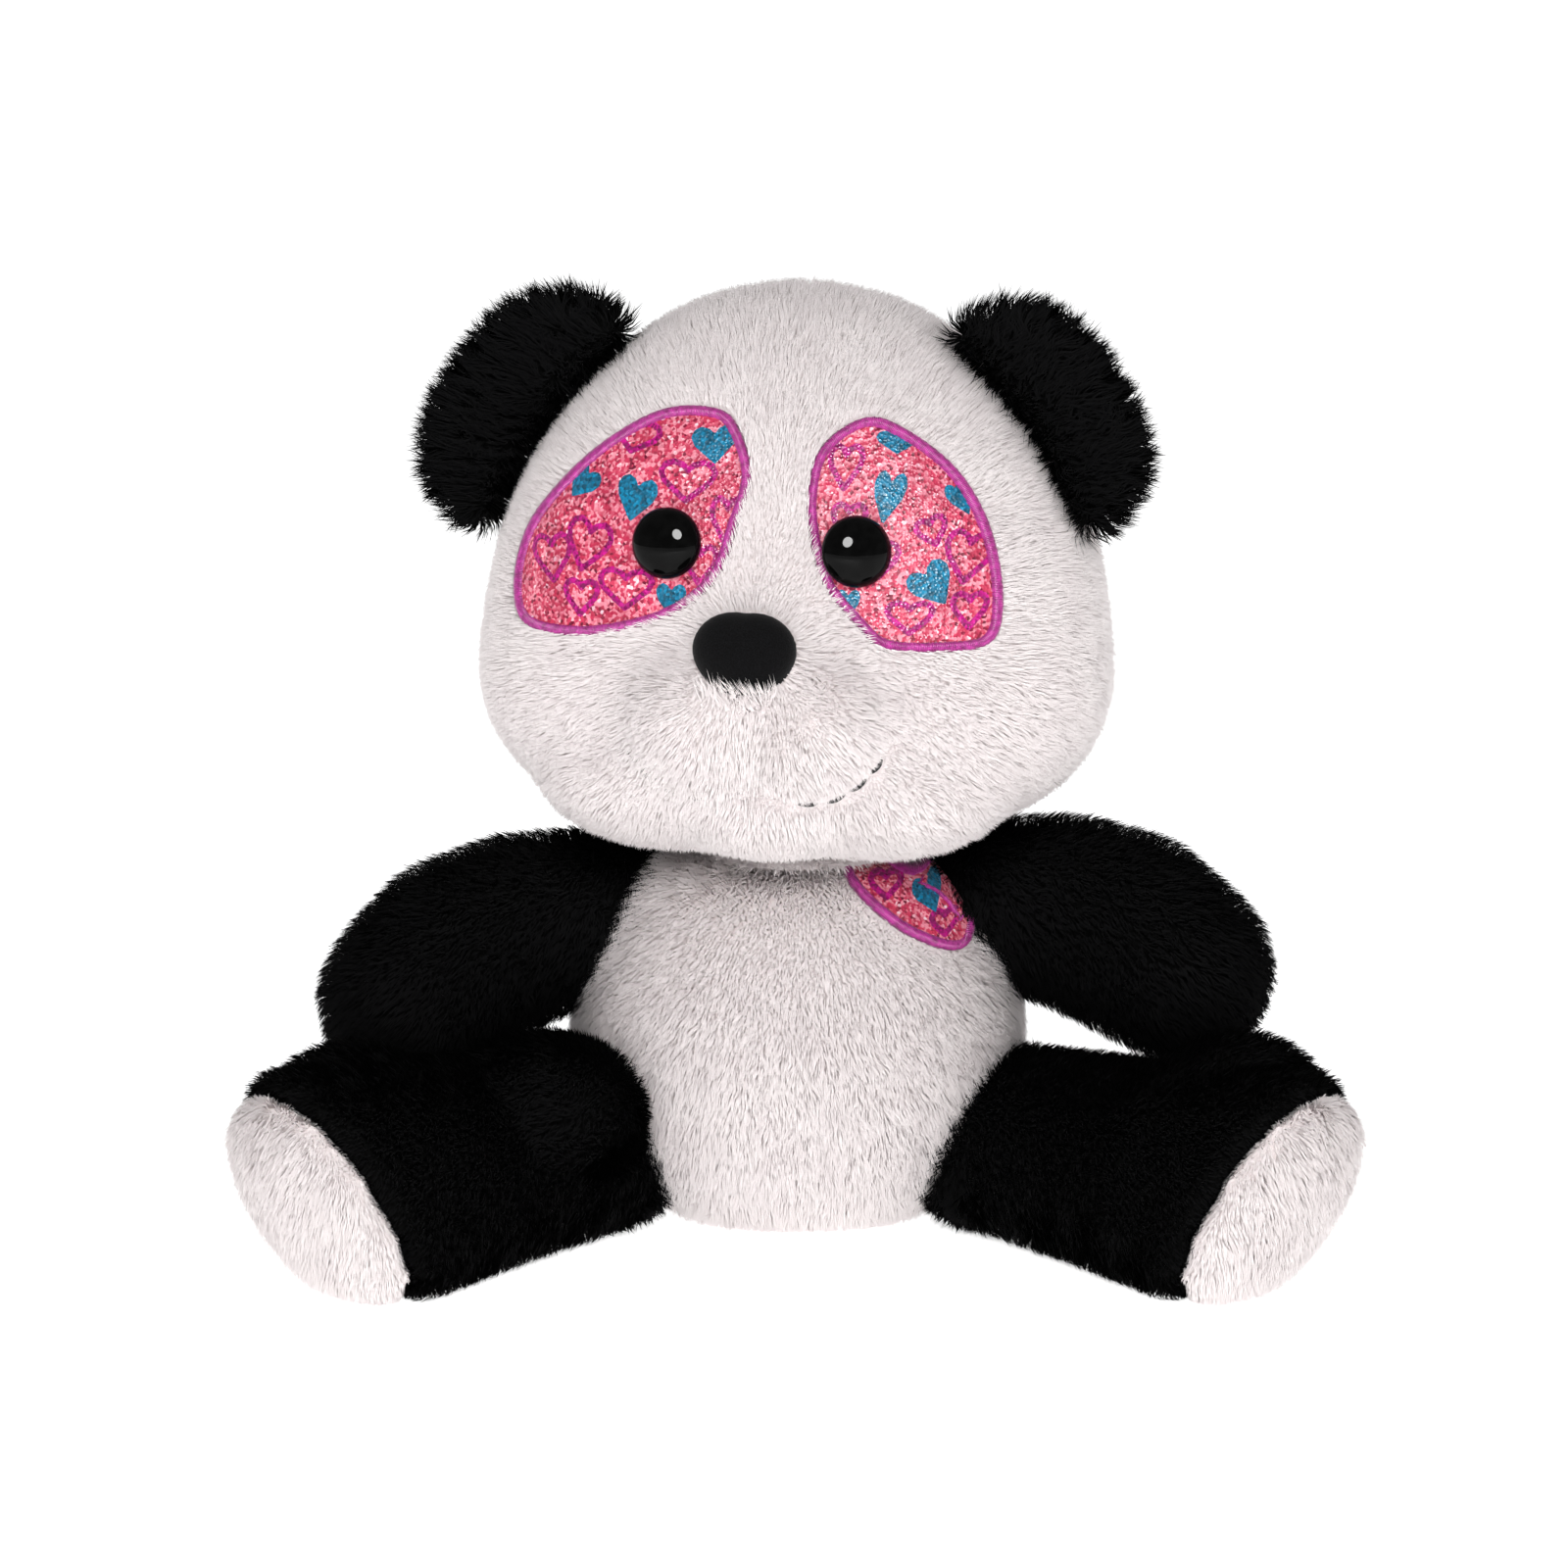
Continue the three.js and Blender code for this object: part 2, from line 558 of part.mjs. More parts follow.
const arms = { left: sided(ARM, 1), right: sided(ARM, -1) };
const legs = { left: sided(LEG, 1), right: sided(LEG, -1) };
for (const name of ["left", "right"]) {
  const hang = new THREE.Quaternion().setFromAxisAngle(
    new THREE.Vector3().crossVectors(arms[name].aims[0], Z).normalize(),
    -THREE.MathUtils.degToRad(ARM_DROP[name]),
  );
  const { path, aims, ups } = arms[name];
  for (const vector of [...path, ...aims, ...ups]) vector.applyQuaternion(hang);
}
const rooms = ["left", "right"].flatMap((name) => [
  limbRoom(arms[name], new THREE.Vector3(...ARM_PIVOTS[name])),
  limbRoom(legs[name], new THREE.Vector3(...LEG_PIVOTS[name])),
]);
addTorso(rooms);
addHead();
for (const name of ["left", "right"]) {
  addArm(name, arms[name]);
  addLeg(name, legs[name]);
}

// The origin is on the ground, under the middle of the toy.
const panda = new THREE.Group();
panda.add(toy);
panda.updateMatrixWorld(true);
const box = new THREE.Box3().setFromObject(panda, true);
const middle = box.getCenter(new THREE.Vector3());
toy.position.set(-middle.x, -middle.y, -box.min.z);

export default panda;
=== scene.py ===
"""A seated plush panda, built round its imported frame: stuffed skins, a pile of real strands, glitter patches
with satin-stitched edges, safety eyes, a flocked nose and a stitched smile."""

import json
import math

import bpy
import bmesh
import numpy as np
from mathutils import Matrix, Vector
from mathutils.bvhtree import BVHTree
from mathutils.geometry import delaunay_2d_cdt


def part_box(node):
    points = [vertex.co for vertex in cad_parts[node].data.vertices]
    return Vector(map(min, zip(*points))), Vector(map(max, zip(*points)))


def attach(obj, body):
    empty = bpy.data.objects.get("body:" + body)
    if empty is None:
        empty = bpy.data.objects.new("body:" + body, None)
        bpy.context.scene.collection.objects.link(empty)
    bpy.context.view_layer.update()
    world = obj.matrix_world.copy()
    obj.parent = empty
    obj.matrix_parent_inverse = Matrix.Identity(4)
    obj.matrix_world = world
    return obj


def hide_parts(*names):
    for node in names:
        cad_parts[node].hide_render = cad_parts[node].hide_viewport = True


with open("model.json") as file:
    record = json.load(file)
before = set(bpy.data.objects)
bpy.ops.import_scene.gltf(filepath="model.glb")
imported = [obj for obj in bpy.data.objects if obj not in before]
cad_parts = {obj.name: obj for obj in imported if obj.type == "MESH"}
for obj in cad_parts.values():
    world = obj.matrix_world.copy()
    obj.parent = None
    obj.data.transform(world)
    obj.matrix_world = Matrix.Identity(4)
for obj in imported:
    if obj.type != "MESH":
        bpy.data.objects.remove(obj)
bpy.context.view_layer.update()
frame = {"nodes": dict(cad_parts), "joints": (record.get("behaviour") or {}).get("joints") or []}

MM = 0.001
CLOTH_STEPS = 8
SEED = 11
joints = {joint["name"]: joint for joint in frame["joints"]}


# ---- places, all from the frame ----

def joint_place(name):
    return Vector(joints[name]["pos_m"])


def head_frame():
    """Takes the head's own millimetres, measured from its pivot, to the world."""
    roll = math.radians(1.5)
    nod_axis = joints["head_nod"]["axis"]
    turn = math.atan2(nod_axis[1], nod_axis[0])
    place = Matrix.Translation(joint_place("head_turn"))
    return place @ Matrix.Rotation(turn, 4, "Z") @ Matrix.Rotation(roll, 4, "Y") @ Matrix.Scale(MM, 4)


def torso_frame():
    """Takes the torso's own millimetres, measured from the middle of its seat, to the world."""
    low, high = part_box("seat_panel")
    return Matrix.Translation(((low[0] + high[0]) / 2, (low[1] + high[1]) / 2, 0)) @ Matrix.Scale(MM, 4)


HEAD = head_frame()
TORSO = torso_frame()


# ---- camera and light ----

def add_camera():
    distance = 1.2
    elevation = math.radians(9)
    seen_width = 0.416  # across the picture at the toy
    aim_height = 0.115
    toy_axis = torso_frame().translation
    aim = Vector((toy_axis.x - 0.0038, toy_axis.y + 0.002, aim_height))
    data = bpy.data.cameras.new("camera")
    data.sensor_width = 36
    data.lens = data.sensor_width * distance / seen_width
    camera = bpy.data.objects.new("camera", data)
    camera.location = aim + distance * Vector((0, -math.cos(elevation), math.sin(elevation)))
    camera.rotation_euler = (math.radians(90) - elevation, 0, 0)
    bpy.context.scene.collection.objects.link(camera)
    bpy.context.scene.camera = camera
    return camera


def add_area_light(name, place, aim, size, power):
    data = bpy.data.lights.new(name, "AREA")
    data.shape = "DISK"
    data.size = size
    data.energy = power
    light = bpy.data.objects.new(name, data)
    light.location = place
    light.rotation_euler = (Vector(aim) - Vector(place)).to_track_quat("-Z", "Y").to_euler()
    bpy.context.scene.collection.objects.link(light)
    return light


def add_lights(camera):
    """Soft boxes all round that show in no gloss, and one small light that shows only there."""
    aim = Vector((0, 0, 0.13))
    reach = (camera.location - aim).length
    raised = math.radians(30)
    front = aim + reach * Vector((0.02, -math.cos(raised), math.sin(raised)))
    soft = (
        add_area_light("front_box", aim + reach * Vector((0.02, -0.94, 0.34)), aim, 0.7, 7),
        add_area_light("left_box", (-1.2, -0.5, 0.9), aim, 0.9, 2.6),
        add_area_light("right_box", (1.2, -0.5, 0.9), aim, 0.9, 2.5),
        add_area_light("back_box", (0, 1.3, 1.2), aim, 1.2, 4),
    )
    for light in soft:
        light.visible_glossy = False
    catch = add_area_light("catch_light", front, aim, 0.46, 20)
    catch.visible_diffuse = False


def add_world():
    """White to the eye, and a softer white to the toy."""
    world = bpy.data.worlds.new("world")
    world.use_nodes = True
    nodes, links = world.node_tree.nodes, world.node_tree.links
    seen = nodes["Background"]
    seen.inputs["Color"].default_value = (1, 1, 1, 1)
    seen.inputs["Strength"].default_value = 1.1
    felt = nodes.new("ShaderNodeBackground")
    felt.inputs["Strength"].default_value = 0.26
    felt.inputs["Color"].default_value = (1, 1, 1, 1)
    path = nodes.new("ShaderNodeLightPath")
    either = nodes.new("ShaderNodeMixShader")
    links.new(path.outputs["Is Camera Ray"], either.inputs["Fac"])
    links.new(felt.outputs["Background"], either.inputs[1])
    links.new(seen.outputs["Background"], either.inputs[2])
    links.new(either.outputs["Shader"], nodes["World Output"].inputs["Surface"])
    bpy.context.scene.world = world
    view = bpy.context.scene.view_settings
    view.view_transform = "Standard"
    view.look = "Medium High Contrast"


# ---- materials ----

def material(name, roughness, sheen=0.0, specular=0.5):
    """A new node material, with the shader's plain values set on its own sockets."""
    made = bpy.data.materials.new(name)
    made.use_nodes = True
    shader = made.node_tree.nodes["Principled BSDF"]
    shader.inputs["Roughness"].default_value = roughness
    shader.inputs["Sheen Weight"].default_value = sheen
    shader.inputs["Specular IOR Level"].default_value = specular
    return made, made.node_tree.nodes, made.node_tree.links, shader


def ramp_from(nodes, links, source, stops):
    """A colour ramp fed by a value, with its stops as (position, colour)."""
    ramp = nodes.new("ShaderNodeValToRGB")
    elements = ramp.color_ramp.elements
    while len(elements) < len(stops):
        elements.new(0.5)
    for element, (position, colour) in zip(elements, stops):
        element.position = position
        element.color = (*colour, 1)
    links.new(source, ramp.inputs["Fac"])
    return ramp.outputs["Color"]


def noise_at(nodes, links, scale, detail=3.0):
    """Noise in the piece's own coordinates, with `scale` in cycles per metre."""
    place = nodes.new("ShaderNodeTexCoord")
    noise = nodes.new("ShaderNodeTexNoise")
    noise.inputs["Scale"].default_value = scale
    noise.inputs["Detail"].default_value = detail
    links.new(place.outputs["Object"], noise.inputs["Vector"])
    return noise.outputs["Fac"]


def cells_at(nodes, links, scale):
    """Small cells in the piece's own coordinates, with `scale` in cells per metre."""
    place = nodes.new("ShaderNodeTexCoord")
    cells = nodes.new("ShaderNodeTexVoronoi")
    cells.inputs["Scale"].default_value = scale
    links.new(place.outputs["Object"], cells.inputs["Vector"])
    return cells


def multiplied(nodes, links, first, second):
    mix = nodes.new("ShaderNodeMix")
    mix.data_type = "RGBA"
    mix.blend_type = "MULTIPLY"
    mix.inputs["Factor"].default_value = 1.0
    links.new(first, mix.inputs["A"])
    links.new(second, mix.inputs["B"])
    return mix.outputs["Result"]


def raised(nodes, links, shader, height, strength, depth):
    """Gives a material the bumps of a height, `depth` metres deep."""
    bump = nodes.new("ShaderNodeBump")
    bump.inputs["Strength"].default_value = strength
    bump.inputs["Distance"].default_value = depth
    links.new(height, bump.inputs["Height"])
    links.new(bump.outputs["Normal"], shader.inputs["Normal"])


def pile_material(name, root, tip, roughness=0.9, sheen=0.3):
    """Strands with painted shade: darker towards the root, for the shade deep in the pile, and a little different
    from tuft to tuft.
    """
    made, nodes, links, shader = material(name, roughness, sheen=sheen, specular=0.15)
    along = nodes.new("ShaderNodeAttribute")
    along.attribute_name = "along"
    # painted shade: the colour runs from the darker root colour to the tip colour
    strand = ramp_from(nodes, links, along.outputs["Fac"], [(0.0, root), (0.75, tip)])
    tufts = noise_at(nodes, links, 90)
    shade = ramp_from(nodes, links, tufts, [(0.3, (0.95, 0.94, 0.945)), (0.7, (1, 1, 1))])
    links.new(multiplied(nodes, links, strand, shade), shader.inputs["Base Color"])
    return made


def backing_material(name, dark, light):
    """The knitted cloth that the pile stands on."""
    made, nodes, links, shader = material(name, 0.95, specular=0.1)
    knit = cells_at(nodes, links, 900).outputs["Distance"]
    links.new(ramp_from(nodes, links, knit, [(0.1, light), (0.8, dark)]), shader.inputs["Base Color"])
    raised(nodes, links, shader, knit, 0.4, 0.0003)
    return made


# painted shade: each pile's first colour is its root colour, darker than its tip to stand for the shade deep in
# the pile
WHITE_PILE = pile_material("white_pile", (0.86, 0.785, 0.78), (0.90, 0.848, 0.842))
BLACK_PILE = pile_material("black_pile", (0.001, 0.001, 0.001), (0.0025, 0.0025, 0.003), sheen=0.0)
WHITE_CLOTH = backing_material("white_backing", (0.84, 0.765, 0.76), (0.9, 0.85, 0.845))
BLACK_CLOTH = backing_material("black_backing", (0.001, 0.001, 0.001), (0.004, 0.004, 0.004))


# ---- meshes ----

def new_object(name, verts, faces, look):
    mesh = bpy.data.meshes.new(name)
    mesh.from_pydata([tuple(v) for v in verts], [], faces)
    mesh.materials.append(look)
    made = bpy.data.objects.new(name, mesh)
    bpy.context.scene.collection.objects.link(made)
    return made


def smooth_curve(points, steps):
    """Points along a Catmull-Rom curve through the given ones, `steps` to each stretch."""
    points = [np.array(p, float) for p in points]
    ends = [2 * points[0] - points[1], *points, 2 * points[-1] - points[-2]]
    made = []
    for i in range(1, len(ends) - 2):
        a, b, c, d = ends[i - 1 : i + 3]
        for t in np.arange(steps) / steps:
            made.append(0.5 * (2 * b + (c - a) * t + (2 * a - 5 * b + 4 * c - d) * t**2
                               + (3 * b - a - 3 * c + d) * t**3))
    return [*made, points[-1]]


def squared(value, squareness):
    """A sine or cosine bent so that the circle it draws grows squarer, with 2 for a true circle."""
    return math.copysign(abs(value) ** (2 / squareness), value)


def round_form(outline, depth_share, squareness, sides=64, steps=3):
    """A closed form turned about Z: outline is [half width, height] from bottom to top, both on the axis."""
    rings = [p for p in smooth_curve(outline, steps) if p[0] > 0.5]
    verts = [(0, 0, outline[0][1])]
    for half, height in rings:
        for side in range(sides):
            angle = 2 * math.pi * side / sides
            across, deep = (squared(v, squareness) for v in (math.cos(angle), math.sin(angle)))
            verts.append((half * across, half * depth_share * deep, height))
    verts.append((0, 0, outline[-1][1]))
    faces = [(0, 1 + (side + 1) % sides, 1 + side) for side in range(sides)]
    for ring in range(len(rings) - 1):
        start = 1 + ring * sides
        for side in range(sides):
            beside = (side + 1) % sides
            faces.append((start + side, start + beside, start + sides + beside, start + sides + side))
    start = 1 + (len(rings) - 1) * sides
    faces += [(start + side, start + (side + 1) % sides, len(verts) - 1) for side in range(sides)]
    return verts, faces


def ball(centre, half_sizes, sides=32):
    """An ellipsoid as (verts, faces)."""
    angles = np.linspace(-math.pi / 2, math.pi / 2, sides // 2 + 1)
    outline = [(math.cos(a), math.sin(a)) for a in angles]
    outline[0] = (0, -1)
    outline[-1] = (0, 1)
    verts, faces = round_form([[100 * r, 100 * h] for r, h in outline], 1, 2, sides, 1)
    return [tuple(c + v / 100 * s for c, v, s in zip(centre, vert, half_sizes)) for vert in verts], faces


def joined(name, parts, place, look):
    """One object from several overlapping closed forms."""
    verts, faces = [], []
    for part_verts, part_faces in parts:
        start = len(verts)
        verts += [place @ Vector(v) for v in part_verts]
        faces += [tuple(start + i for i in face) for face in part_faces]
    return new_object(name, verts, faces, look)


def from_nodes(name, nodes, look, grow=0.0003):
    """One object from copies of CAD nodes' meshes, each grown a little so that they overlap."""
    gathered = bmesh.new()
    for node in nodes:
        gathered.from_mesh(frame["nodes"][node].data)
    bmesh.ops.remove_doubles(gathered, verts=gathered.verts, dist=1e-6)
    gathered.normal_update()
    for vert in gathered.verts:
        vert.co += vert.normal * grow
    made = new_object(name, [], [], look)
    gathered.to_mesh(made.data)
    gathered.free()
    return made


def apply_modifiers(piece):
    shaped = bpy.data.meshes.new_from_object(piece.evaluated_get(bpy.context.evaluated_depsgraph_get()))
    piece.modifiers.clear()
    old = piece.data
    piece.data = shaped
    bpy.data.meshes.remove(old)


def fused(piece, voxel, relax):
    """Melts a piece's overlapping forms into one even skin."""
    remesh = piece.modifiers.new("fuse", "REMESH")
    remesh.mode = "VOXEL"
    remesh.voxel_size = voxel
    smooth = piece.modifiers.new("relax", "SMOOTH")
    smooth.factor = 0.5
    smooth.iterations = relax
    apply_modifiers(piece)
    return piece


def smooth_shaded(piece):
    for face in piece.data.polygons:
        face.use_smooth = True


def shown(piece, slot, body, *nodes):
    """A piece that stands for CAD nodes and rides on a body; `slot` is not used."""
    if nodes:
        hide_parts(*nodes)
    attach(piece, body)


def places_of(piece):
    found = np.empty(len(piece.data.vertices) * 3)
    piece.data.vertices.foreach_get("co", found)
    return found.reshape(-1, 3)


def set_places(piece, places):
    piece.data.vertices.foreach_set("co", places.ravel())
    piece.data.update()


def stuffed(piece, pressure=4.0, cap=0.004):
    """Blows a skin up as cloth under pressure, moving no place by more than `cap`."""
    before = places_of(piece)
    cloth = piece.modifiers.new("stuff", "CLOTH")
    cloth.settings.use_pressure = True
    cloth.settings.uniform_pressure_force = pressure
    cloth.settings.effector_weights.gravity = 0
    cloth.settings.tension_stiffness = 15
    cloth.settings.compression_stiffness = 15
    cloth.settings.bending_stiffness = 0.5
    cloth.settings.quality = 3
    for step in range(1, CLOTH_STEPS + 1):
        bpy.context.scene.frame_set(step)
    after = places_of_evaluated(piece)
    piece.modifiers.clear()
    bpy.context.scene.frame_set(1)
    move = after - before
    far = np.maximum(np.linalg.norm(move, axis=1, keepdims=True), 1e-9)
    set_places(piece, before + move * np.minimum(1, cap / far))
    settle = piece.modifiers.new("settle", "SMOOTH")
    settle.factor = 0.5
    settle.iterations = 3
    finer = piece.modifiers.new("finer", "SUBSURF")
    finer.levels = 1
    apply_modifiers(piece)
    places = places_of(piece)
    places[:, 2] = np.maximum(places[:, 2], 0)
    set_places(piece, places)
    smooth_shaded(piece)
    return piece


def places_of_evaluated(piece):
    shaped = piece.evaluated_get(bpy.context.evaluated_depsgraph_get()).to_mesh()
    found = np.empty(len(shaped.vertices) * 3)
    shaped.vertices.foreach_get("co", found)
    return found.reshape(-1, 3)


# ---- pile ----

class Wander:
    """A smooth random direction for each place, the same every run."""

    def __init__(self, seed, size, waves=10):
        rng = np.random.default_rng(seed)
        self.waves = rng.normal(size=(waves, 3)) * 2 * math.pi / size / 1.7
        self.phases = rng.uniform(0, 2 * math.pi, waves)
        self.aims = rng.normal(size=(waves, 3)) / math.sqrt(waves)

    def __call__(self, places):
        return np.sin(places @ self.waves.T + self.phases) @ self.aims


def unit(vectors):
    return vectors / np.maximum(np.linalg.norm(vectors, axis=1, keepdims=True), 1e-12)


def scattered(skin, count, rng):
    """Places spread evenly over a skin, with their normals."""
    mesh = skin.data
    mesh.calc_loop_triangles()
    corners = np.empty(len(mesh.loop_triangles) * 3, np.int32)
    mesh.loop_triangles.foreach_get("vertices", corners)
    corners = corners.reshape(-1, 3)
    places = places_of(skin)
    normals = np.empty(len(places) * 3)
    mesh.vertices.foreach_get("normal", normals)
    normals = normals.reshape(-1, 3)
    a, b, c = (places[corners[:, i]] for i in range(3))
    areas = np.linalg.norm(np.cross(b - a, c - a), axis=1)
    chosen = rng.choice(len(areas), count, p=areas / areas.sum())
    u, v = rng.random((2, count, 1))
    fold = u + v > 1
    u, v = np.where(fold, 1 - u, u), np.where(fold, 1 - v, v)
    shares = (1 - u - v, u, v)
    at = sum(share * places[corners[chosen, i]] for i, share in enumerate(shares))
    out = unit(sum(share * normals[corners[chosen, i]] for i, share in enumerate(shares)))
    return at, out


def combed(root, out, comb, lean, clump, seed, rng):
    """The way each strand leans, along the skin, with tufts and twists in it."""
    tuft, twist = Wander(seed, 0.011), Wander(seed + 1, 0.0035)
    way = unit(comb(root)) + 0.2 * tuft(root) + clump * twist(root) + rng.normal(scale=0.1, size=root.shape)
    way -= out * np.sum(way * out, axis=1, keepdims=True)
    steady = np.maximum(np.linalg.norm(way, axis=1, keepdims=True), 0.45)
    return way / steady * lean * rng.uniform(0.7, 1.2, (len(root), 1))


def strand_places(root, out, way, tall, width, rng):
    """Five places for each strand, two at its root, two at its bend and one at its tip, and its normal."""
    low = unit(out + 0.35 * way)
    high = unit(0.55 * out + way)
    middle = root + low * tall[:, None] * 0.5
    tip = middle + high * tall[:, None] * 0.55
    facing = unit(out - high * np.sum(out * high, axis=1, keepdims=True))
    across = np.cross(high, facing)
    spin = rng.normal(scale=0.3, size=(len(root), 1))
    across = unit(across * np.cos(spin) + facing * np.sin(spin))
    half = width / 2 * rng.uniform(0.7, 1.2, (len(root), 1))
    sunk = root - out * 0.0003
    bend = across * half * 0.8
    rows = (sunk - across * half, sunk + across * half, middle + bend, middle - bend, tip)
    verts = np.stack(rows, axis=1).reshape(-1, 3)
    verts[:, 2] = np.maximum(verts[:, 2], 0.0003)
    return verts, unit(0.88 * out + 0.12 * facing)


def strand_mesh(name, verts, normals, look):
    """Each strand as a four-sided foot and a three-sided tip, lit as the skin below it is."""
    count = len(normals)
    first = np.arange(count)[:, None]
    loops = np.concatenate([5 * first + [0, 1, 2, 3], 5 * first + [3, 2, 4]], axis=1).ravel()
    mesh = bpy.data.meshes.new(name)
    mesh.vertices.add(len(verts))
    mesh.vertices.foreach_set("co", verts.ravel())
    mesh.loops.add(len(loops))
    mesh.loops.foreach_set("vertex_index", loops)
    mesh.polygons.add(2 * count)
    mesh.polygons.foreach_set("loop_start", (7 * first + [0, 4]).ravel())
    mesh.update(calc_edges=True)
    along = mesh.attributes.new("along", "FLOAT", "POINT")
    along.data.foreach_set("value", np.tile([0, 0, 0.5, 0.5, 1.0], count))
    mesh.polygons.foreach_set("use_smooth", np.ones(2 * count, bool))
    mesh.normals_split_custom_set_from_vertices(np.repeat(normals, 5, axis=0))
    mesh.materials.append(look)
    return mesh


def everywhere(roots):
    return np.ones(len(roots))


def grow_pile(name, skin, body, look, comb, per_mm2, length, width, seed,
              lean=0.9, clump=0.35, keep=everywhere):
    """Strands on a skin, in millimetres: `comb` gives the way they lie, and `keep` their share of full length."""
    rng = np.random.default_rng(seed)
    area = sum(face.area for face in skin.data.polygons)
    root, out = scattered(skin, int(area / MM**2 * per_mm2), rng)
    share = keep(root) * 1.0
    grown = share > 0.05
    root, out, share = root[grown], out[grown], share[grown]
    tall = length * MM * share * rng.uniform(0.7, 1.1, len(root))
    way = combed(root, out, comb, lean, clump, seed, rng)
    verts, normals = strand_places(root, out, way, tall, width * MM, rng)
    pile = bpy.data.objects.new(name, strand_mesh(name, verts, normals, look))
    bpy.context.scene.collection.objects.link(pile)
    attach(pile, body)


# ---- skins ----

HEAD_OUTLINE = [
    [0, 3.5], [26, 3], [46, 5.5], [60, 10], [74, 22], [80, 38], [78.5, 56],
    [75, 75], [68, 93], [56, 111], [39, 127], [22, 136], [0, 140.5],
]
HEAD_DEPTH, HEAD_SQUARE = 0.76, 2.6
TORSO_OUTLINE = [
    [0, 0], [20, 0], [32, 4], [48, 21], [57, 42], [56, 62], [50, 79], [42, 92], [30, 99], [0, 103],
]
TORSO_DEPTH, TORSO_SQUARE = 0.91, 2.4
EYE_HEIGHT, EYE_ACROSS = 78.5, 23
NOSE_ACROSS, NOSE_HEIGHT = -1.5, 53.5
NOSE_TIP = (NOSE_ACROSS, -74, 53)  # the fur of the face grows away from here
FACE_EDGE = -14  # the seam between the face and the back of the head


def local(matrix, places):
    """World places in a body's own millimetres."""
    back = np.array(matrix.inverted())
    return places @ back[:3, :3].T + back[:3, 3]


def head_skin():
    forms = [round_form(HEAD_OUTLINE, HEAD_DEPTH, HEAD_SQUARE)]
    for side in (-1, 1):
        forms.append(ball((15 * side, -44, 35), (22, 28, 21)))
        forms.append(ball((28 * side, -30, 18), (33, 30, 18)))
    forms.append(ball((0, -40, 13), (29, 22, 13)))
    forms.append(ball((0, -52, 50), (17, 20, 14)))
    skin = fused(joined("head_skin", forms, HEAD, WHITE_CLOTH), 0.0035, 8)
    stuffed(skin)
    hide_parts("face_cover", "head_back_cover", "head_stuffing", "left_muzzle_pad", "right_muzzle_pad",
                "chin_panel", "left_eye_washer", "right_eye_washer", "nose_washer")
    return dressed(skin, "head")


def torso_skin():
    form = round_form(TORSO_OUTLINE, TORSO_DEPTH, TORSO_SQUARE)
    skin = fused(joined("torso_skin", [form], TORSO, WHITE_CLOTH), 0.004, 2)
    stuffed(skin)
    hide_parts("torso_front_cover", "torso_back_cover", "seat_panel", "torso_stuffing",
                "seat_pellet_bag")
    return dressed(skin, "torso")


def neck_skin():
    """The gathered cloth between the torso's top and the head."""
    outline = [[0, -9], [27, -8.6], [25, -4], [23, 0], [25, 4], [28, 8], [0, 8.6]]
    place = Matrix.Translation(joint_place("head_turn")) @ Matrix.Scale(MM, 4)
    skin = joined("neck_skin", [round_form(outline, 1, 2, 48)], place, WHITE_CLOTH)
    smooth_shaded(skin)
    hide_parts("neck_seam_ring")
    return dressed(skin, "neck")


def limb_skin(name, nodes, body, look, voxel=0.003, bulges=()):
    """The skin of a limb, from copies of its nodes and, for a leg, the `bulges` of its filling."""
    skin = from_nodes(name, nodes, look)
    gathered = bmesh.new()
    gathered.from_mesh(skin.data)
    for centre, half_sizes in bulges:
        verts, faces = ball(centre, half_sizes)
        made = [gathered.verts.new(MM * Vector(v)) for v in verts]
        for face in faces:
            gathered.faces.new([made[i] for i in face])
    gathered.to_mesh(skin.data)
    gathered.free()
    fused(skin, voxel, 4)
    stuffed(skin, cap=0.003)
    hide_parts(*nodes)
    return dressed(skin, body)


LEG_BULGES = {
    "left": [((113, -36, 44), (20, 19, 15))],
    "right": [((-113, -36, 41), (20, 19, 15)), ((-64, -18, 37), (24, 22, 18))],
}


def dressed(skin, body):
    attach(skin, body)
    return skin


# ---- flat shapes on a skin ----

class Surface:
    """Finds the place on a skin's front under a point of the body's own front view, in millimetres."""

    def __init__(self, skin, matrix, centre):
        self.tree = BVHTree.FromObject(skin, bpy.context.evaluated_depsgraph_get())
        self.matrix = matrix
        self.centre = Vector(centre)
        self.inward = (matrix.to_3x3() @ Vector((0, 1, 0))).normalized()

    def at(self, x, z, lift=0.0):
        hit = self.tree.ray_cast(self.matrix @ Vector((x, -200, z)), self.inward)[0]
        if hit is None:
            hit = self.tree.find_nearest(self.matrix @ Vector((x, -30, z)))[0]
        core = self.matrix @ Vector((*self.centre[:2], (z + self.centre[2]) / 2))
        out = (hit - core).normalized()
        return hit + out * lift * MM, out


def closed_curve(points, steps=6):
    """A smooth closed outline through the points."""
    count = len(points)
    around = [*points[-2:], *points, *points[:2]]
    curve = smooth_curve(around, steps)
    return np.array(curve[2 * steps : (2 + count) * steps])


def inside(points, outline):
    """Which (x, z) points are within a closed outline."""
    x, z = points.T
    found = np.zeros(len(points), bool)
    for (ax, az), (bx, bz) in zip(outline, np.roll(outline, -1, axis=0)):
        crossing = (az > z) != (bz > z)
        with np.errstate(divide="ignore", invalid="ignore"):
            at = (bx - ax) * (z - az) / (bz - az) + ax
        found ^= crossing & (x < at)
    return found


def distance(points, outline, closed=True):
    """How far each (x, z) point is from an outline's line."""
    nearest = np.full(len(points), np.inf)
    ends = np.roll(outline, -1, axis=0) if closed else outline[1:]
    for start, end in zip(outline, ends):
        along = end - start
        share = np.clip((points - start) @ along / max(along @ along, 1e-9), 0, 1)
        nearest = np.minimum(nearest, np.linalg.norm(points - start - share[:, None] * along, axis=1))
    return nearest


def signed(points, outline):
    """Distance to an outline, below zero inside it."""
    return distance(points, outline) * np.where(inside(points, outline), -1, 1)


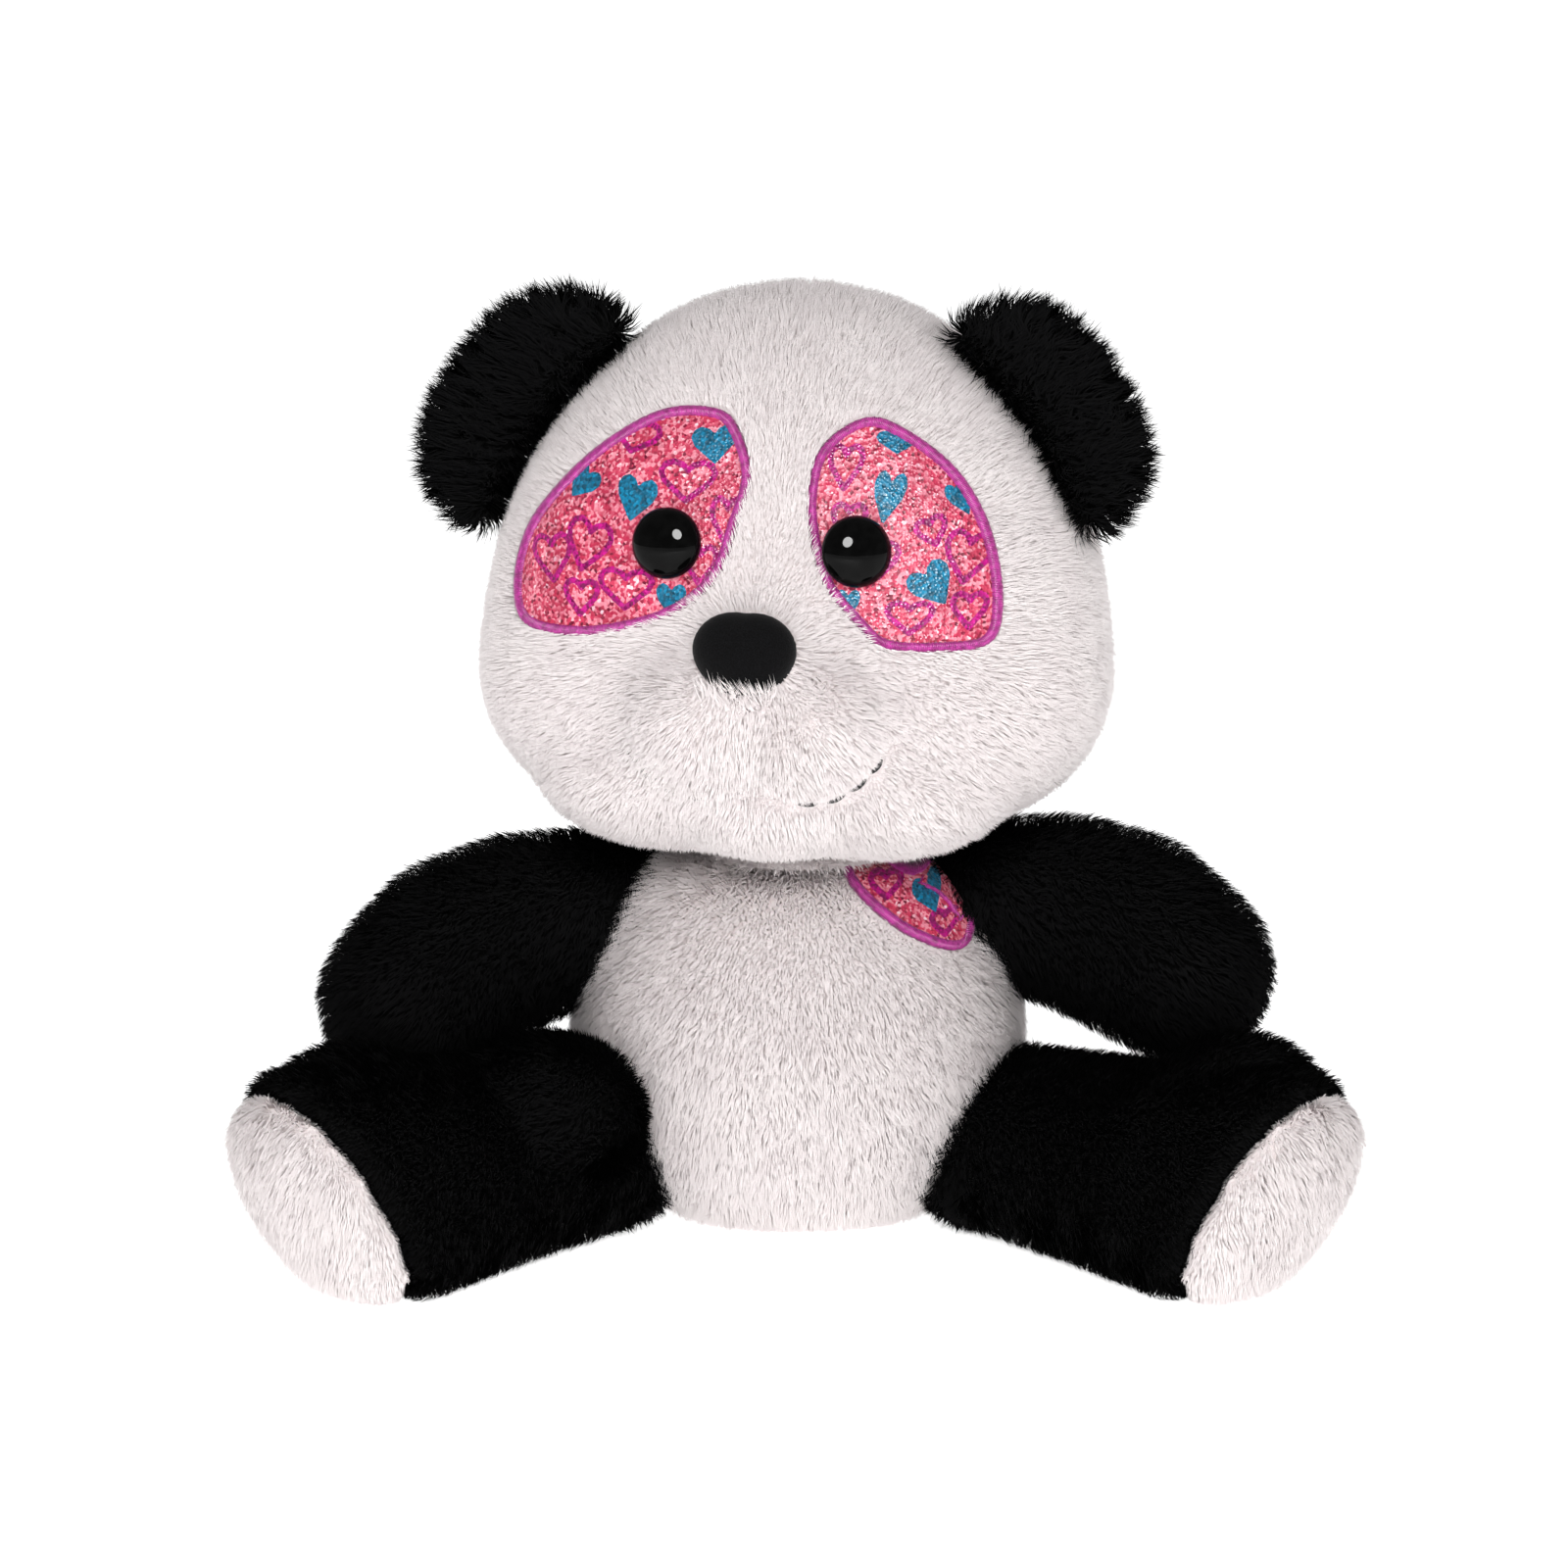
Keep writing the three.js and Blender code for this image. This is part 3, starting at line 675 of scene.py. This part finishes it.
HEART = np.array([
    [0, -1], [0.45, -0.5], [0.85, -0.05], [1, 0.38], [0.86, 0.72], [0.55, 0.86], [0.2, 0.72], [0, 0.45],
    [-0.2, 0.72], [-0.55, 0.86], [-0.86, 0.72], [-1, 0.38], [-0.85, -0.05], [-0.45, -0.5],
])


def heart(x, z, width, height, lean=0.0):
    turn = math.radians(lean)
    shape = HEART * (width / 2, height / 2)
    spin = np.array([[math.cos(turn), math.sin(turn)], [-math.sin(turn), math.cos(turn)]])
    return shape @ spin + (x, z)


def filled_in(outline, grain):
    """A closed outline's inside as flat points, `grain` apart, and triangles between them."""
    low, high = outline.min(0), outline.max(0)
    grid = np.stack(np.meshgrid(np.arange(low[0], high[0], grain), np.arange(low[1], high[1], grain)), -1)
    grid = grid.reshape(-1, 2)
    grid[:, 0] += grain / 2 * (np.round((grid[:, 1] - low[1]) / grain) % 2)
    grid = grid[signed(grid, outline) < -grain * 0.6]
    flat = np.concatenate([outline, grid])
    edges = [(i, (i + 1) % len(outline)) for i in range(len(outline))]
    found = delaunay_2d_cdt([Vector(p) for p in flat], edges, [], 1, 1e-5)
    return np.array([tuple(p) for p in found[0]]), [tuple(reversed(face)) for face in found[2]]


def cloth_patch(name, surface, outline, fills, lines, body, look, lift=1.0):
    """A glitter patch with filled hearts and heart outlines, as a thin closed sheet that follows the skin."""
    flat, faces = filled_in(outline, 0.7)
    verts = [surface.at(x, z, lift)[0] for x, z in flat]
    patch = new_object(name, verts, faces, look)
    fill = np.min([signed(flat, shape) for shape in fills], axis=0)
    line = np.min([distance(flat, shape) for shape in lines], axis=0)
    for label, values in (("fill", fill), ("line", line)):
        patch.data.attributes.new(label, "FLOAT", "POINT").data.foreach_set("value", values.astype(np.float32))
    if patch.data.polygons[0].normal.dot(surface.inward) >= 0:
        patch.data.flip_normals()
    thick = patch.modifiers.new("thick", "SOLIDIFY")
    thick.thickness = 1.2 * MM
    thick.offset = -1
    apply_modifiers(patch)
    smooth_shaded(patch)
    body_name, node = body
    shown(patch, "glitter_cloth", body_name, node)


def tube(points, radius, flat=1.0, outs=None, sides=6):
    """A closed tube through the points, as (verts, faces); `flat` squashes it towards `outs`."""
    points = [Vector(p) for p in points]
    verts, faces = [], []
    for i, point in enumerate(points):
        along = (points[min(i + 1, len(points) - 1)] - points[max(i - 1, 0)]).normalized()
        out = outs[i] if outs else Vector((0, -1, 0))
        side = along.cross(out).normalized()
        up = side.cross(along)
        share = 0.55 if i in (0, len(points) - 1) else 1.0
        for step in range(sides):
            turn = 2 * math.pi * step / sides
            verts.append(point + radius * share * (side * math.cos(turn) + up * math.sin(turn) * flat))
    for i in range(len(points) - 1):
        for step in range(sides):
            a, b = i * sides + step, i * sides + (step + 1) % sides
            faces.append((a, b, b + sides, a + sides))
    faces.append(tuple(reversed(range(sides))))
    faces.append(tuple(range(len(verts) - sides, len(verts))))
    return verts, faces


def satin_border(name, surface, outline, half_width, body, look, lift=1.0):
    """Close satin stitches over a patch's edge: each thread crosses the edge in a low arch."""
    rng = np.random.default_rng(SEED)
    pitch = 0.42
    ends = np.roll(outline, -1, axis=0)
    steps = np.linalg.norm(ends - outline, axis=1)
    reach = np.concatenate([[0], np.cumsum(steps)])
    parts = []
    closed = np.concatenate([outline, outline[:1]])

    def on_line(run):
        return np.array([np.interp(run % reach[-1], reach, closed[:, i]) for i in (0, 1)])

    for run in np.arange(0, reach[-1], pitch):
        x, z = on_line(run)
        along = unit((on_line(run + 1.5) - on_line(run - 1.5))[None])[0]
        across = np.array([-along[1], along[0]])
        half = half_width * rng.uniform(0.92, 1.08)
        points, outs = [], []
        for share in (-1, -0.6, 0, 0.6, 1):
            height = lift + 0.9 * (1 - abs(share) ** 2.2) - 0.5 * (abs(share) == 1)
            place, out = surface.at(x + across[0] * share * half, z + across[1] * share * half, height)
            points.append(place)
            outs.append(out)
        parts.append(tube(points, 0.29 * MM, 0.85, outs, 5))
    border = joined(name, parts, Matrix.Identity(4), look)
    smooth_shaded(border)
    shown(border, "glitter_cloth", body)


# ---- the patches' looks ----

def printed(nodes, links, cloth, grain, label, edge, colour):
    """Dyes the cloth where the patch's own `label` distance is below `edge`, with painted shade and painted
    glints: a darker and a brighter copy of the dye from cell to cell.
    """
    mark = nodes.new("ShaderNodeAttribute")
    mark.attribute_name = label
    below = nodes.new("ShaderNodeMath")
    below.operation = "LESS_THAN"
    below.inputs[1].default_value = edge
    links.new(mark.outputs["Fac"], below.inputs[0])
    # painted shade and painted glints on the print: darker and brighter copies of the dye, picked per glitter
    # cell by `grain`
    dark, bright = (tuple(share * c for c in colour) for share in (0.4, 1.6))
    dye = ramp_from(nodes, links, grain, [(0.0, dark), (0.6, colour), (1.0, bright)])
    mix = nodes.new("ShaderNodeMix")
    mix.data_type = "RGBA"
    links.new(below.outputs["Value"], mix.inputs["Factor"])
    links.new(cloth, mix.inputs["A"])
    links.new(dye, mix.inputs["B"])
    return mix.outputs["Result"]


def glitter_material(name, base, spark, fill_colour, line_colour):
    """Knitted lurex: small cells with painted glints and painted shade in their colour, and roughness and bumps
    that differ from cell to cell, with the printed hearts over them.
    """
    made, nodes, links, shader = material(name, 0.42, sheen=0.2, specular=0.35)
    cells = cells_at(nodes, links, 1300)
    sparkle_cells = nodes.new("ShaderNodeSeparateColor")
    links.new(cells.outputs["Color"], sparkle_cells.inputs["Color"])
    # painted shade and painted glints: cells run from a dark shaded cell through the pink cloth to pale sparkle
    # and a near-white glint
    gap, glint = (0.16, 0.002, 0.03), (0.95, 0.78, 0.82)
    stops = [(0.0, gap), (0.24, base), (0.5, base), (0.75, spark), (0.95, spark), (1.0, glint)]
    cloth = ramp_from(nodes, links, sparkle_cells.outputs["Red"], stops)
    broad = noise_at(nodes, links, 140)
    shade = ramp_from(nodes, links, broad, [(0.35, (0.72, 0.6, 0.66)), (0.65, (1, 1, 1))])
    cloth = multiplied(nodes, links, cloth, shade)
    for label, edge, colour in (("line", 0.72, line_colour), ("fill", 0.0, fill_colour)):
        cloth = printed(nodes, links, cloth, sparkle_cells.outputs["Green"], label, edge, colour)
    links.new(cloth, shader.inputs["Base Color"])
    raised(nodes, links, shader, cells.outputs["Distance"], 0.5, 0.0004)
    rough = ramp_from(nodes, links, sparkle_cells.outputs["Blue"], [(0.0, (0.6, 0.6, 0.6)), (1.0, (0.2, 0.2, 0.2))])
    links.new(rough, shader.inputs["Roughness"])
    return made


def thread_material(name, dark, light, roughness=0.4):
    """Shiny embroidery thread, a little different from stitch to stitch."""
    made, nodes, links, shader = material(name, roughness, sheen=0.3, specular=0.6)
    colour = ramp_from(nodes, links, noise_at(nodes, links, 700), [(0.35, dark), (0.65, light)])
    links.new(colour, shader.inputs["Base Color"])
    return made


def eye_material():
    made, nodes, links, shader = material("eye_gloss", 0.04, specular=0.15)
    speck = noise_at(nodes, links, 400)
    links.new(ramp_from(nodes, links, speck, [(0.4, (0.002, 0.002, 0.002)), (0.6, (0.004, 0.004, 0.004))]),
              shader.inputs["Base Color"])
    return made


def flock_material():
    made, nodes, links, shader = material("nose_flock", 0.95, sheen=0.08, specular=0.1)
    nap = noise_at(nodes, links, 2500)
    links.new(ramp_from(nodes, links, nap, [(0.3, (0.002, 0.002, 0.002)), (0.7, (0.007, 0.007, 0.008))]),
              shader.inputs["Base Color"])
    raised(nodes, links, shader, nap, 0.5, 0.0002)
    return made


def floor_material():
    made, nodes, links, shader = material("floor_paper", 0.9, specular=0.1)
    paper = [(0.3, (0.93, 0.93, 0.93)), (0.7, (0.95, 0.95, 0.95))]
    links.new(ramp_from(nodes, links, noise_at(nodes, links, 3), paper), shader.inputs["Base Color"])
    shader.inputs["Emission Color"].default_value = (1, 1, 1, 1)
    shader.inputs["Emission Strength"].default_value = 0.7
    return made


# ---- the face ----

EYE_PATCHES = {
    "left": [
        (22, 110), (31, 108), (43, 100), (51, 90), (56, 78), (58, 65), (56, 57), (47, 55.2), (32, 55.6),
        (25, 61), (17, 70), (13, 80), (11, 92), (13, 103),
    ],
    "right": [
        (-15, 111), (-28, 110), (-42, 102), (-54, 91), (-63, 79), (-66, 66), (-63, 56.5), (-52, 54.5),
        (-38, 56), (-22, 61.5), (-11, 71), (-7, 84), (-4.5, 96), (-9, 107),
    ],
}
SMILE = [(3, 17.5), (11, 15.5), (19, 16.5), (26, 20.5), (31, 26), (33.5, 31)]


def add_eye_patches(surface, cloth, edge):
    fills = {
        "left": [heart(30, 92, 8, 14, -8), heart(31, 105, 11, 6), heart(47, 92, 6, 10, 30),
                 heart(42, 71, 11, 12, 35),
                 heart(22, 66, 6, 8)],
        "right": [heart(-14, 103, 12, 10, 8), heart(-48, 92, 9, 10, -35), heart(-33, 89, 11, 12, -10),
                  heart(-22, 65, 8, 9)],
    }
    lines = {
        "left": [heart(50, 78, 11, 13, -8), heart(51, 65, 8, 9), heart(19, 99, 8, 11), heart(37, 63, 11, 8),
                 heart(29, 77, 9, 9), heart(41, 84, 7, 7, 20), heart(21, 86, 8, 9)],
        "right": [heart(-55, 73, 11, 12, 10), heart(-45, 77, 12, 13, -12), heart(-35, 104, 13, 8, -10),
                  heart(-34, 67, 14, 10), heart(-46, 64, 9, 9), heart(-20, 94, 14, 10), heart(-9, 85, 8, 12),
                  heart(-15, 74, 8, 10)],
    }
    for name, outline in EYE_PATCHES.items():
        outline = closed_curve(outline)
        middle = outline.mean(0)
        outline = middle + (outline - middle) * 0.975
        node = f"{name}_eye_patch"
        cloth_patch(node + "_cloth", surface, outline, fills[name], lines[name], ("head", node), cloth)
        satin_border(node + "_border", surface, outline, 1.3, "head", edge)


def turned_form(profile, sides=48):
    """A lathe about Z through (radius, height) points that start and end on the axis."""
    verts = [(0, 0, profile[0][1])]
    faces = []
    rings = profile[1:-1]
    turns = [2 * math.pi * s / sides for s in range(sides)]
    for radius, height in rings:
        verts += [(radius * math.cos(turn), radius * math.sin(turn), height) for turn in turns]
    verts.append((0, 0, profile[-1][1]))
    faces += [(0, 1 + (s + 1) % sides, 1 + s) for s in range(sides)]
    for ring in range(len(rings) - 1):
        for s in range(sides):
            a, b = 1 + ring * sides + s, 1 + ring * sides + (s + 1) % sides
            faces.append((a, b, b + sides, a + sides))
    last = 1 + (len(rings) - 1) * sides
    faces += [(last + s, last + (s + 1) % sides, len(verts) - 1) for s in range(sides)]
    return verts, faces


def add_eyes(surface, look):
    """Domed caps with a rolled rim, each on a short shank, looking a little outwards."""
    radius, height = 9.0, 5.5
    splays = {"left": 27, "right": -8}
    tilt = 8
    for name, splay in splays.items():
        side = 1 if name == "left" else -1
        dome = [(radius * math.cos(t), height * math.sin(t)) for t in np.linspace(0, math.pi / 2, 14)]
        shank = [(0, -8), (2.4, -8), (2.4, -1.2)]
        rim = [(radius - 0.8, -1.0), (radius - 0.1, -0.5)]
        cap = turned_form([*shank, *rim, *dome[:-1], (0, height)])
        place, _ = surface.at(EYE_ACROSS * side, EYE_HEIGHT, 2.6)
        turn = Matrix.Rotation(math.radians(splay), 4, "Z") @ Matrix.Rotation(math.radians(90 - tilt), 4, "X")
        heading = HEAD.to_quaternion().to_matrix().to_4x4() @ turn
        seat = Matrix.Translation(place) @ heading @ Matrix.Scale(MM, 4)
        eye = joined(f"{name}_eye_cap", [cap], seat, look)
        smooth_shaded(eye)
        shown(eye, "eye_plastic", "head", f"{name}_eye")


def add_nose(look):
    """A flocked dome, broader at the brow than at its foot, with a soft rolled rim."""
    verts, faces = ball((0, 0, 0), (1, 1, 1), 40)
    shaped = []
    for x, y, z in verts:
        wide = 13 * (1 + 0.1 * z)
        deep = 8.5 if y < 0 else 4
        square = 1 + 0.06 * math.sin(math.pi * abs(x)) * abs(z)
        shaped.append((NOSE_ACROSS + x * wide * square, -69 + y * deep, NOSE_HEIGHT + 10.2 * z * square))
    nose = joined("nose_dome", [(shaped, faces)], HEAD, look)
    smooth_shaded(nose)
    shown(nose, "nose_flock", "head", "nose")


def fringe_lengths(roots):
    """Long just below the nose, and none elsewhere."""
    spots = local(HEAD, roots)
    across = np.abs(spots[:, 0] - NOSE_ACROSS)
    return (across < 10) & (spots[:, 1] < -50) & (np.abs(spots[:, 2] - 42) < 3.5 - 0.02 * across**2)


def add_mouth(surface, look):
    """Running stitches along the smile, each one a thread that dives back into the cloth."""
    for side, name in ((1, "left"), (-1, "right")):
        path = smooth_curve(SMILE[1:], 8)
        parts = []
        stitch = 6
        for start in range(0, len(path) - stitch, stitch + 1):
            run = path[start : start + stitch + 1]
            points, outs = [], []
            for i, (x, z) in enumerate(run):
                arch = math.sin(math.pi * i / stitch)
                place, out = surface.at(x * side, z, -0.4 + 1.6 * arch)
                points.append(place)
                outs.append(out)
            parts.append(tube(points, 0.55 * MM, 1.0, outs, 8))
        stitches = joined(f"{name}_smile_thread", parts, Matrix.Identity(4), look)
        smooth_shaded(stitches)
        shown(stitches, "mouth_thread", "head", f"{name}_mouth_stitch")


CHEST_HEART = [
    (41, 78), (44.5, 84), (45, 91), (42, 96), (36, 98), (29, 96), (22, 99), (14, 100), (12.5, 97), (18, 90.5),
    (29, 82.5),
]


def add_chest_heart(skin, cloth, edge):
    surface = Surface(skin, TORSO, (0, 0, 60))
    outline = closed_curve(CHEST_HEART)
    fills = [heart(33, 91, 8, 10, 20)]
    lines = [heart(22, 94, 8, 6), heart(37, 84, 7, 6)]
    body = ("torso", "chest_heart_patch")
    cloth_patch("chest_heart_cloth", surface, outline, fills, lines, body, cloth, lift=1.2)
    satin_border("chest_heart_border", surface, outline, 1.2, "torso", edge, lift=1.2)


# ---- where each pile grows, and which way it lies ----

def away_from(place, fall=0.0):
    """Strands that lie away from a place, and hang by `fall`."""
    place = np.array(place)

    def comb(roots):
        ways = unit(roots - place)
        ways[:, 2] -= fall
        return ways

    return comb


def lying(way):
    """Strands that all lie one way."""
    return lambda roots: np.tile(np.array(way, float), (len(roots), 1))


def short_beside(skin, lengths):
    """Pile that shortens towards another skin, so that it doesn't hang over the seam between them."""
    tree = BVHTree.FromObject(skin, bpy.context.evaluated_depsgraph_get())

    def kept(roots):
        gaps = np.array([tree.find_nearest(Vector(root))[3] for root in roots])
        return lengths(roots) * (0.25 + 0.75 * soft_step(gaps, 1 * MM, 7 * MM))

    return kept


def soft_step(values, low, high):
    share = np.clip((values - low) / (high - low), 0, 1)
    return share * share * (3 - 2 * share)


def face_lengths(roots):
    """The face's pile: none under the patches and the nose, and short round the eyes and over the smile."""
    spots = local(HEAD, roots)
    flat = spots[:, [0, 2]]
    ahead = spots[:, 1] < FACE_EDGE
    share = np.ones(len(roots))
    for outline in EYE_PATCHES.values():
        gap = signed(flat, closed_curve(outline, 4))
        share = np.where(ahead, share * (0.85 + 0.15 * soft_step(gap, 0.3, 5.0)) * (gap > 0.3), share)
    nose = np.hypot((flat[:, 0] - NOSE_ACROSS) / 12.5, (flat[:, 1] - NOSE_HEIGHT) / 9.5)
    share *= ~ahead | (nose > 0.9)
    smile = distance(flat, np.array(smooth_curve(SMILE, 4)), closed=False)
    share = np.where(ahead & (spots[:, 0] > 0), share * (0.3 + 0.7 * soft_step(smile, 0.5, 3.5)), share)
    share *= np.hypot(spots[:, 0], spots[:, 1] - 8) > np.where(spots[:, 2] < 8, 24, 0)
    return share


def only_where(lengths, chosen):
    return lambda roots: lengths(roots) * chosen(roots)


def torso_lengths(roots):
    spots = local(TORSO, roots)
    share = (spots[:, 2] > 2.5) * (np.hypot(spots[:, 0], spots[:, 1]) > np.where(spots[:, 2] > 94, 22, 0))
    for joint, room in (("arm_lift", 17), ("leg_spread", 21)):
        for side in ("left", "right"):
            pivot = np.array(joint_place(f"{side}_{joint}"))
            share = share * (np.linalg.norm(roots - pivot, axis=1) > room * MM)
    outline = closed_curve(CHEST_HEART, 4)
    gap = signed(spots[:, [0, 2]], outline)
    return np.where(spots[:, 1] < 0, share * (gap > 1.2) * (0.4 + 0.6 * soft_step(gap, 1.2, 6)), share)


def outside_torso(roots):
    """1 where a place is outside the torso's form, 0 inside it."""
    spots = local(TORSO, roots)
    halves, heights = np.array(TORSO_OUTLINE, float).T
    half = np.interp(spots[:, 2], heights[1:], halves[1:]) - 3
    across, deep = spots[:, 0] / half, spots[:, 1] / half / TORSO_DEPTH
    return (np.abs(across) ** TORSO_SQUARE + np.abs(deep) ** TORSO_SQUARE > 1) * 1.0


def add_stage():
    reach = 6
    corners = [(-reach, -reach, 0), (reach, -reach, 0), (reach, reach, 0), (-reach, reach, 0)]
    floor = new_object("floor", corners, [(0, 1, 2, 3)], floor_material())


# ---- the toy ----

def add_head_pile(head):
    """The pile of the face and of the back of the head, each in a left and a right half."""
    nose_tip = HEAD @ Vector(NOSE_TIP)

    def behind(roots):
        return local(HEAD, roots)[:, 1] >= FACE_EDGE

    def ahead(roots):
        return ~behind(roots)

    def half(side, chosen):
        return lambda roots: chosen(roots) & (local(HEAD, roots)[:, 0] * side > 0)

    sides = (("left", 1, 0), ("right", -1, 1))
    for name, side, number in sides:
        grow_pile(f"{name}_face_pile", head, "head", WHITE_PILE, away_from(nose_tip, 0.2), per_mm2=4.3,
                  length=4.4, width=0.3, clump=0.15, seed=SEED + 1 + number,
                  keep=only_where(face_lengths, half(side, ahead)))
    for name, side, number in sides:
        grow_pile(f"{name}_back_head_pile", head, "head", WHITE_PILE, away_from(nose_tip, 0.5), per_mm2=2.5,
                  length=4.9, width=0.36, clump=0.12, seed=SEED + 3 + number,
                  keep=only_where(face_lengths, half(side, behind)))


def add_torso_pile(torso):
    chest = joint_place("head_turn") + Vector((0, -0.02, 0))
    for name, side, seed in (("front", -1, SEED + 5), ("back", 1, SEED + 6)):

        def half(roots):
            return local(TORSO, roots)[:, 1] * side > 0

        grow_pile(f"torso_{name}_pile", torso, "torso", WHITE_PILE, away_from(chest, 0.9), per_mm2=3.8,
                  length=5.4, width=0.34, clump=0.18, seed=seed, keep=only_where(torso_lengths, half))


def add_arm(side, number):
    body = f"{side}_arm"
    nodes = [f"{body}_front_cover", f"{body}_back_cover", f"{body}_stuffing"]
    arm = limb_skin(f"{body}_skin", nodes, body, BLACK_CLOTH)
    shoulder = joint_place(f"{side}_arm_lift")
    grow_pile(f"{body}_pile", arm, body, BLACK_PILE, away_from(shoulder, 0.5), per_mm2=2.2, length=6, width=0.5,
              clump=0.2, seed=SEED + 10 + number, keep=outside_torso)


def add_leg(side, number):
    body = f"{side}_leg"
    nodes = [f"{side}_leg_outer_cover", f"{side}_leg_inner_cover", f"{side}_leg_stuffing"]
    leg = limb_skin(f"{side}_leg_skin", nodes, body, BLACK_CLOTH, bulges=LEG_BULGES[side])
    sole = limb_skin(f"{side}_sole_skin", [f"{side}_sole_pad"], body, WHITE_CLOTH, 0.0025)
    hip = joint_place(f"{side}_leg_spread")
    grow_pile(f"{side}_leg_pile", leg, body, BLACK_PILE, away_from(hip, 0.3), per_mm2=2.0, length=5.5,
              width=0.5, clump=0.2, seed=SEED + 20 + number, keep=short_beside(sole, outside_torso))
    grow_pile(f"{side}_sole_pile", sole, body, WHITE_PILE, lying((0, 0.2, -1)), per_mm2=5.0, length=5,
              width=0.34, clump=0.15, seed=SEED + 30 + number, keep=short_beside(leg, everywhere))


def add_ear(side, number):
    body = f"{side}_ear"
    nodes = [f"{side}_ear_front", f"{side}_ear_back"]
    ear = limb_skin(f"{side}_ear_skin", nodes, body, BLACK_CLOTH, 0.0025)
    crown = HEAD @ Vector((0, 0, 70))
    grow_pile(f"{side}_ear_pile", ear, body, BLACK_PILE, away_from(crown), per_mm2=3.0, length=8.5, width=0.45,
              lean=0.7, clump=0.6, seed=SEED + 40 + number)


def add_face(head, cloth, edge):
    surface = Surface(head, HEAD, (0, 0, 60))
    add_eye_patches(surface, cloth, edge)
    add_eyes(surface, eye_material())
    add_nose(flock_material())
    grow_pile("nose_fringe", head, "head", WHITE_PILE, lying((0, 0, 1)), per_mm2=3, length=9.5, width=0.26,
              seed=SEED + 9, keep=fringe_lengths)
    add_mouth(surface, thread_material("mouth_thread", (0.003, 0.003, 0.003), (0.012, 0.012, 0.012), 0.7))


def build():
    camera = add_camera()
    add_lights(camera)
    add_world()
    add_stage()
    # pale_pink is the colour of the painted sparkle on the glitter cells
    pink, pale_pink = (0.62, 0.05, 0.12), (0.88, 0.33, 0.40)
    teal, magenta = (0.001, 0.16, 0.28), (0.38, 0.002, 0.17)
    cloth = glitter_material("glitter_pink", pink, pale_pink, teal, magenta)
    edge = thread_material("border_thread", (0.27, 0.007, 0.16), (0.5, 0.035, 0.32))
    head = head_skin()
    torso = torso_skin()
    neck = neck_skin()
    add_face(head, cloth, edge)
    add_chest_heart(torso, cloth, edge)
    add_head_pile(head)
    add_torso_pile(torso)
    grow_pile("neck_pile", neck, "neck", WHITE_PILE, lying((0, 0, -1)), per_mm2=1.5, length=4, width=0.4,
              seed=SEED + 8)
    for number, side in enumerate(("left", "right")):
        add_arm(side, number)
        add_leg(side, number)
        add_ear(side, number)


build()
